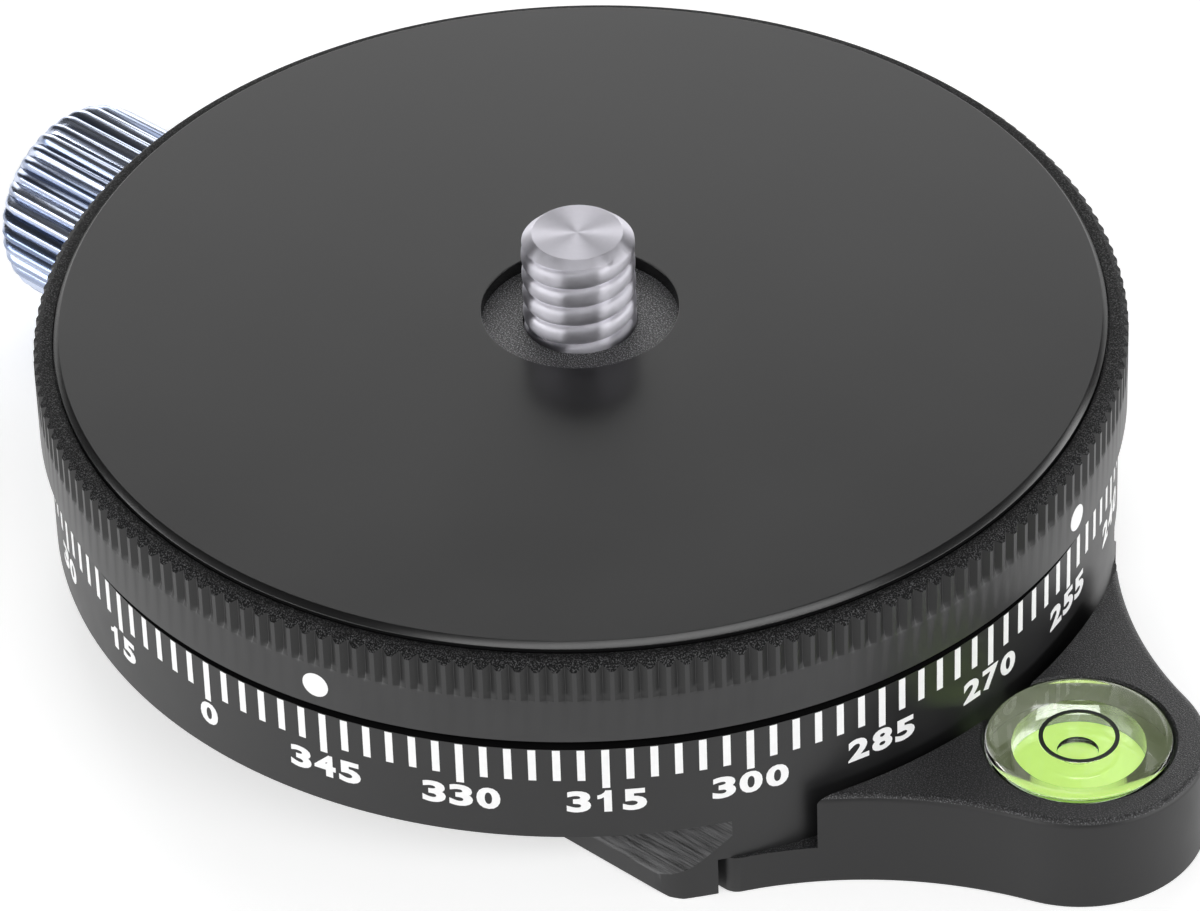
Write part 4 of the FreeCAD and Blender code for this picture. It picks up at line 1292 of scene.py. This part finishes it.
@dataclass
class Base:
    """The drum on its dovetail foot, and the pieces inside that keep their own shapes."""

    radius: float = DRUM_RADIUS
    top: float = 11.65
    top_round: float = 0.4
    foot_edge: float = 0.15
    foot_height: float = 5.12
    half_width: float = 19.0
    corner: float = 3.0
    corner_steps: int = 10
    lip_top: float = 1.33
    neck: float = 16.35
    flank: tuple[Point, ...] = ((18.7, -0.15), (19.0, 0.15), (19.0, 1.33), (18.97, 1.42), (18.89, 1.56),
                                (16.35, 4.1), (16.35, 5.12))
    cavity: tuple[Point, ...] = ((6.0, 3.2), (13.5, 3.2), (13.5, 9.65), (19.05, 9.65), (19.05, 12.65),
                                 (0.0, 12.65), (0.0, 9.6), (6.0, 9.6))
    thread_radius: float = 4.7625
    thread_depth: float = 8.0
    thread_edge: float = 0.25
    slot_start: float = 18.0
    slot_half_width: float = 17.05
    slot_depth: float = 2.55
    lock_bores: tuple[Triple, ...] = ((2.15, 12.5, 19.3), (2.55, 19.2, 42.5))    # radius, start, end
    pin_place: Point = (-23.45, 2.4)
    pin_bore: Point = (0.77, 9.5)           # here and below: radius, height of one end
    ring_circle: float = 15.8
    ring_bore: Point = (1.27, 6.75)
    ring_count: int = 6
    screw_bore: Point = (1.52, 7.55)
    screw_overcut: float = 0.1
    overcut: float = 1.0
    # faces picked by gap_lean get the painted shade of the gap
    gap_lean: float = 0.1           # faces of the top edge that look up more than this are in the gap
    flank_lean: float = 0.5         # faces that look sideways more than this are the foot's flanks
    carried: tuple[tuple[str, Finish], ...] = (
        ("thread_reducer", PLATED_STEEL), ("sleeve_bush", BRONZE), ("lower_washer", ACETAL),
        ("upper_washer", ACETAL), ("retaining_ring", PLAIN_ALUMINIUM), ("ring_screws", BLACK_STEEL),
        ("spindle", PLATED_STEEL), ("turntable_screws", BLACK_STEEL), ("lock_shoe", BRASS),
        ("lock_screw", LOCK_STEEL), ("stop_pin", SCREW_STEEL), ("bracket_screws", BLACK_STEEL))

    def foot_sides(self) -> list[Shape]:
        """What is milled away beside the foot: both flanks and the four rounded corners.

        Returns:
            The shapes to cut away.
        """
        beyond = self.radius + self.overcut
        section = [*self.flank, (beyond, self.foot_height), (beyond, self.flank[0][1])]
        middle = self.half_width - self.corner
        reach = math.sqrt((self.radius - self.corner) ** 2 - middle ** 2)
        end = math.atan2(middle, reach)
        waste = [*arc((reach, middle), self.corner, math.degrees(end), 90, self.corner_steps),
                 (reach, self.half_width + self.overcut), (beyond * math.cos(end), beyond * math.sin(end))]
        tools = []
        for side in (1, -1):
            lie = Matrix(((0, 0, 1, 0), (side, 0, 0, 0), (0, 1, 0, 0), (0, 0, 0, 1)))
            tools.append(Shape().prism(section, -beyond, beyond).turned(lie))
            for way in (1, -1):
                tools.append(Shape().prism(waste, -self.overcut, self.foot_height).scaled(way, side, 1))
        return tools

    def bores(self) -> list[Shape]:
        """What is drilled: the lock's bore, the pin's, the bracket screws' and the ring screws'.

        Returns:
            The shapes to cut away.
        """
        lie = lying(0.0, LOCK_HEIGHT)
        tools = [Shape().rod(radius, low, high).turned(lie) for radius, low, high in self.lock_bores]
        tools.append(Shape().rod(self.pin_bore[0], -self.overcut, self.pin_bore[1], centre=self.pin_place))
        for spot in BRACKET_SCREWS:
            low = self.slot_depth - self.screw_overcut
            tools.append(Shape().rod(self.screw_bore[0], low, self.screw_bore[1], centre=spot))
        for index in range(self.ring_count):
            angle = TURN * (index + 0.5) / self.ring_count
            spot = (self.ring_circle * math.cos(angle), self.ring_circle * math.sin(angle))
            tools.append(Shape().rod(self.ring_bore[0], self.ring_bore[1], self.top, centre=spot))
        return tools

    def drum(self) -> None:
        """Turn the drum, mill its foot and bore it."""
        corners = [Corner(0.0, 0.0), Corner(self.radius - self.foot_edge, 0.0),
                   Corner(self.radius, self.foot_edge), Corner(self.radius, self.top, self.top_round),
                   Corner(0.0, self.top)]
        shape = Shape().lathe(outline(corners, steps=6), Steps.DRUM)
        wide, beyond = self.slot_half_width, self.radius + self.overcut
        slot = Shape().prism([(self.slot_start, -wide), (beyond, -wide), (beyond, wide),
                              (self.slot_start, wide)], -self.overcut, self.slot_depth)
        mouth = self.thread_radius + self.thread_edge
        thread = Shape().lathe([(0, -self.overcut), (mouth, -self.overcut), (mouth, 0),
                                (self.thread_radius, self.thread_edge),
                                (self.thread_radius, self.thread_depth), (0, self.thread_depth)], Steps.SMALL)
        cavity = Shape().lathe(self.cavity, Steps.SMALL)
        shape.combine(Join.CUT, *self.foot_sides(), slot, thread, cavity, *self.bores()).tidy()
        shape.paint_where(1, self.is_flank)
        # painted shade on the top edge and in the gap under the turntable
        shape.paint_where(2, self.in_gap)
        finish_piece(shape, "drum_body", Body.BASE, (DRUM_BLACK, FLANK_BLACK, PAINTED_GAP_SHADE),
                     ("base_body",), sharp=30.0, flats=True)

    def in_gap(self, face: Face, middle: Vector) -> bool:
        """Whether a face lies in the gap under the turntable or on its rounded edge, which get painted shade.
        """
        return middle.z > self.top - self.top_round and face.normal.z > self.gap_lean

    def is_flank(self, face: Face, middle: Vector) -> bool:
        """Whether a face was milled beside the foot, above the lip."""
        sideways = abs(face.normal.y) > self.flank_lean and abs(face.normal.x) < WELD
        return sideways and self.lip_top < middle.z < self.foot_height and abs(middle.y) > self.neck - WELD

    def build(self) -> None:
        """Make the drum, and dress the solids that carry over."""
        self.drum()
        for name, finish in self.carried:
            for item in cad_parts[name].material_slots:
                item.material = finish.material()
            log.info("%s: %s", name, finish.name)


# ---------------- studio

@dataclass(frozen=True)
class Viewpoint:
    """Where the camera stands and looks."""

    azimuth: float = 43.0           # degrees; 0 looks along +Y
    elevation: float = 38.33
    roll: float = -1.98
    distance: float = 414.83
    aim: Triple = (9.706, -9.188, 17.95)
    lens: float = 229.5
    sensor: float = 36.0
    clip: Point = (0.01, 20.0)      # metres

    def away(self, side: float, height: float) -> Vector:
        """The direction out from the object.

        Args:
            side: degrees round from the camera's side, positive to its right.
            height: degrees above the horizon.

        Returns:
            The unit vector.
        """
        turn, rise = math.radians(self.azimuth + side), math.radians(height)
        return Vector((math.sin(turn) * math.cos(rise), -math.cos(turn) * math.cos(rise), math.sin(rise)))

    def build(self) -> None:
        """Make the camera."""
        data = bpy.data.cameras.new("camera")
        data.lens = self.lens
        data.sensor_width = self.sensor
        data.clip_start, data.clip_end = self.clip
        camera = new_object("camera", data)
        back = self.away(0, self.elevation)
        turn, tilt = math.radians(self.azimuth), math.radians(self.roll)
        right = Vector((math.cos(turn), math.sin(turn), 0))
        up = back.cross(right)
        side = right * math.cos(tilt) + up * math.sin(tilt)
        top = up * math.cos(tilt) - right * math.sin(tilt)
        place = Matrix((side, top, back)).transposed().to_4x4()
        place.translation = (Vector(self.aim) + back * self.distance) * MM
        camera.matrix_world = place
        bpy.context.scene.camera = camera


@dataclass(frozen=True)
class Lamp:
    """A soft rectangular lamp that faces the object."""

    name: str
    side: float             # degrees round from the camera's side, positive to its right
    height: float           # degrees above the horizon
    distance: float         # metres
    size: Point
    glow: float             # how bright its face is; 1 is white
    aim: Triple = (0.0, 0.0, 0.01)

    def build(self, view: Viewpoint) -> None:
        """Hang the lamp.

        Args:
            view: what side and height are counted from.
        """
        data = bpy.data.lights.new(self.name, "AREA")
        data.shape = "RECTANGLE"
        data.size, data.size_y = self.size
        data.energy = self.glow * math.pi * self.size[0] * self.size[1]
        lamp = new_object(self.name, data)
        out = view.away(self.side, self.height)
        lamp.location = Vector(self.aim) + out * self.distance
        lamp.rotation_mode = "QUATERNION"
        lamp.rotation_quaternion = out.to_track_quat("Z", "Y")
        lamp.visible_camera = False


@dataclass
class Studio:
    """Floor, background and lamps."""

    view: Viewpoint = Viewpoint()
    floor_reach: float = 1.5                # metres
    floor_drop: float = 0.00002             # metres
    floor_white: float = 0.8
    floor_rough: float = 0.9
    floor_glow: float = 0.55
    ceiling: float = 0.07                   # brightness of the studio's upper part
    backdrop: float = 3.2                   # brightness of the white wall behind
    wall_edge: Point = (31.0, 40.5)         # degrees of height over which the wall ends
    wall_side: Point = (0.0, 0.35)          # towards the camera's side, over which it ends
    wall_ends: Point = (0.35, 0.58)         # to the left and right, over which it ends
    lamps: tuple[Lamp, ...] = (
        Lamp("front_box", 12, 42, 0.7, (1.1, 0.13), 6.2),
        Lamp("left_box", -68, 7, 0.6, (0.86, 0.15), 7.5),
        Lamp("right_box", 76, 8, 0.6, (1.0, 0.17), 5.5),
        Lamp("top_box", -170, 64, 0.6, (0.22, 0.26), 2.2),
    )

    def floor(self) -> None:
        """A pale floor that keeps a light shadow."""
        shape = Shape()
        bmesh.ops.create_grid(shape.mesh, x_segments=1, y_segments=1, size=self.floor_reach)
        floor = new_object("floor", shape.bake("floor"))
        floor.location.z = -self.floor_drop
        surface = Surface("floor_white")
        surface.set(Base_Color=(*[self.floor_white] * 3, 1.0), Roughness=self.floor_rough,
                    Specular_IOR_Level=0.0)
        matte = surface.shader.outputs[0]
        lit = surface.add("AddShader", {0: matte, 1: surface.add("Emission", {"Strength": self.floor_glow})})
        look = surface.add("MixShader", {0: surface.seen_directly("Is Glossy Ray"), 1: matte, 2: lit})
        surface.put(surface.output, {"Surface": look})
        surface.material.cycles.emission_sampling = "NONE"
        floor.data.materials.append(surface.material)

    def sky(self) -> None:
        """White where it is seen, and otherwise a grey ceiling over a white wall behind."""
        world = bpy.data.worlds.new("studio")
        bpy.context.scene.world = world
        graph = Graph(world)
        graph.tree.nodes.clear()
        toward = graph.add("TexCoord", {}, "Generated")

        def along(side: float) -> Socket:
            """How far a direction points to one side of the camera, from -1 to 1."""
            return graph.add("VectorMath", {0: toward, 1: self.view.away(side, 0)}, "Value",
                             operation="DOT_PRODUCT")

        wall = 1.0
        for number, edges in ((graph.add("SeparateXYZ", {0: toward}, "Z"),
                               [math.sin(math.radians(edge)) for edge in self.wall_edge]),
                              (along(0), self.wall_side),
                              (graph.add("Math", {0: along(90)}, operation="ABSOLUTE"), self.wall_ends)):
            share = graph.spread(number, 1.0, 0.0, *edges, way="SMOOTHSTEP")
            wall = graph.add("Math", {0: wall, 1: share}, operation="MULTIPLY")
        glow = graph.spread(wall, self.ceiling, self.backdrop, start=0.0, stop=1.0)
        soft = graph.add("Background", {"Strength": glow})
        white = graph.add("Background", {"Color": (1.0, 1.0, 1.0, 1.0)})
        look = graph.add("MixShader", {0: graph.seen_directly(), 1: soft, 2: white})
        graph.put(graph.tree.nodes.new("ShaderNodeOutputWorld"), {"Surface": look})

    def build(self) -> None:
        """Set up the studio."""
        self.view.build()
        self.floor()
        self.sky()
        for lamp in self.lamps:
            lamp.build(self.view)
        bpy.context.scene.view_settings.view_transform = "Standard"


def main() -> None:
    """Build every sub-assembly in order, then the studio."""
    logging.basicConfig(level=logging.INFO, format="%(name)s %(message)s")
    for part in (Base(), Turntable(), CameraStud(), Scale(), LockKnob(), LevelBracket(), Studio()):
        part.build()


if __name__ == "__main__":
    main()
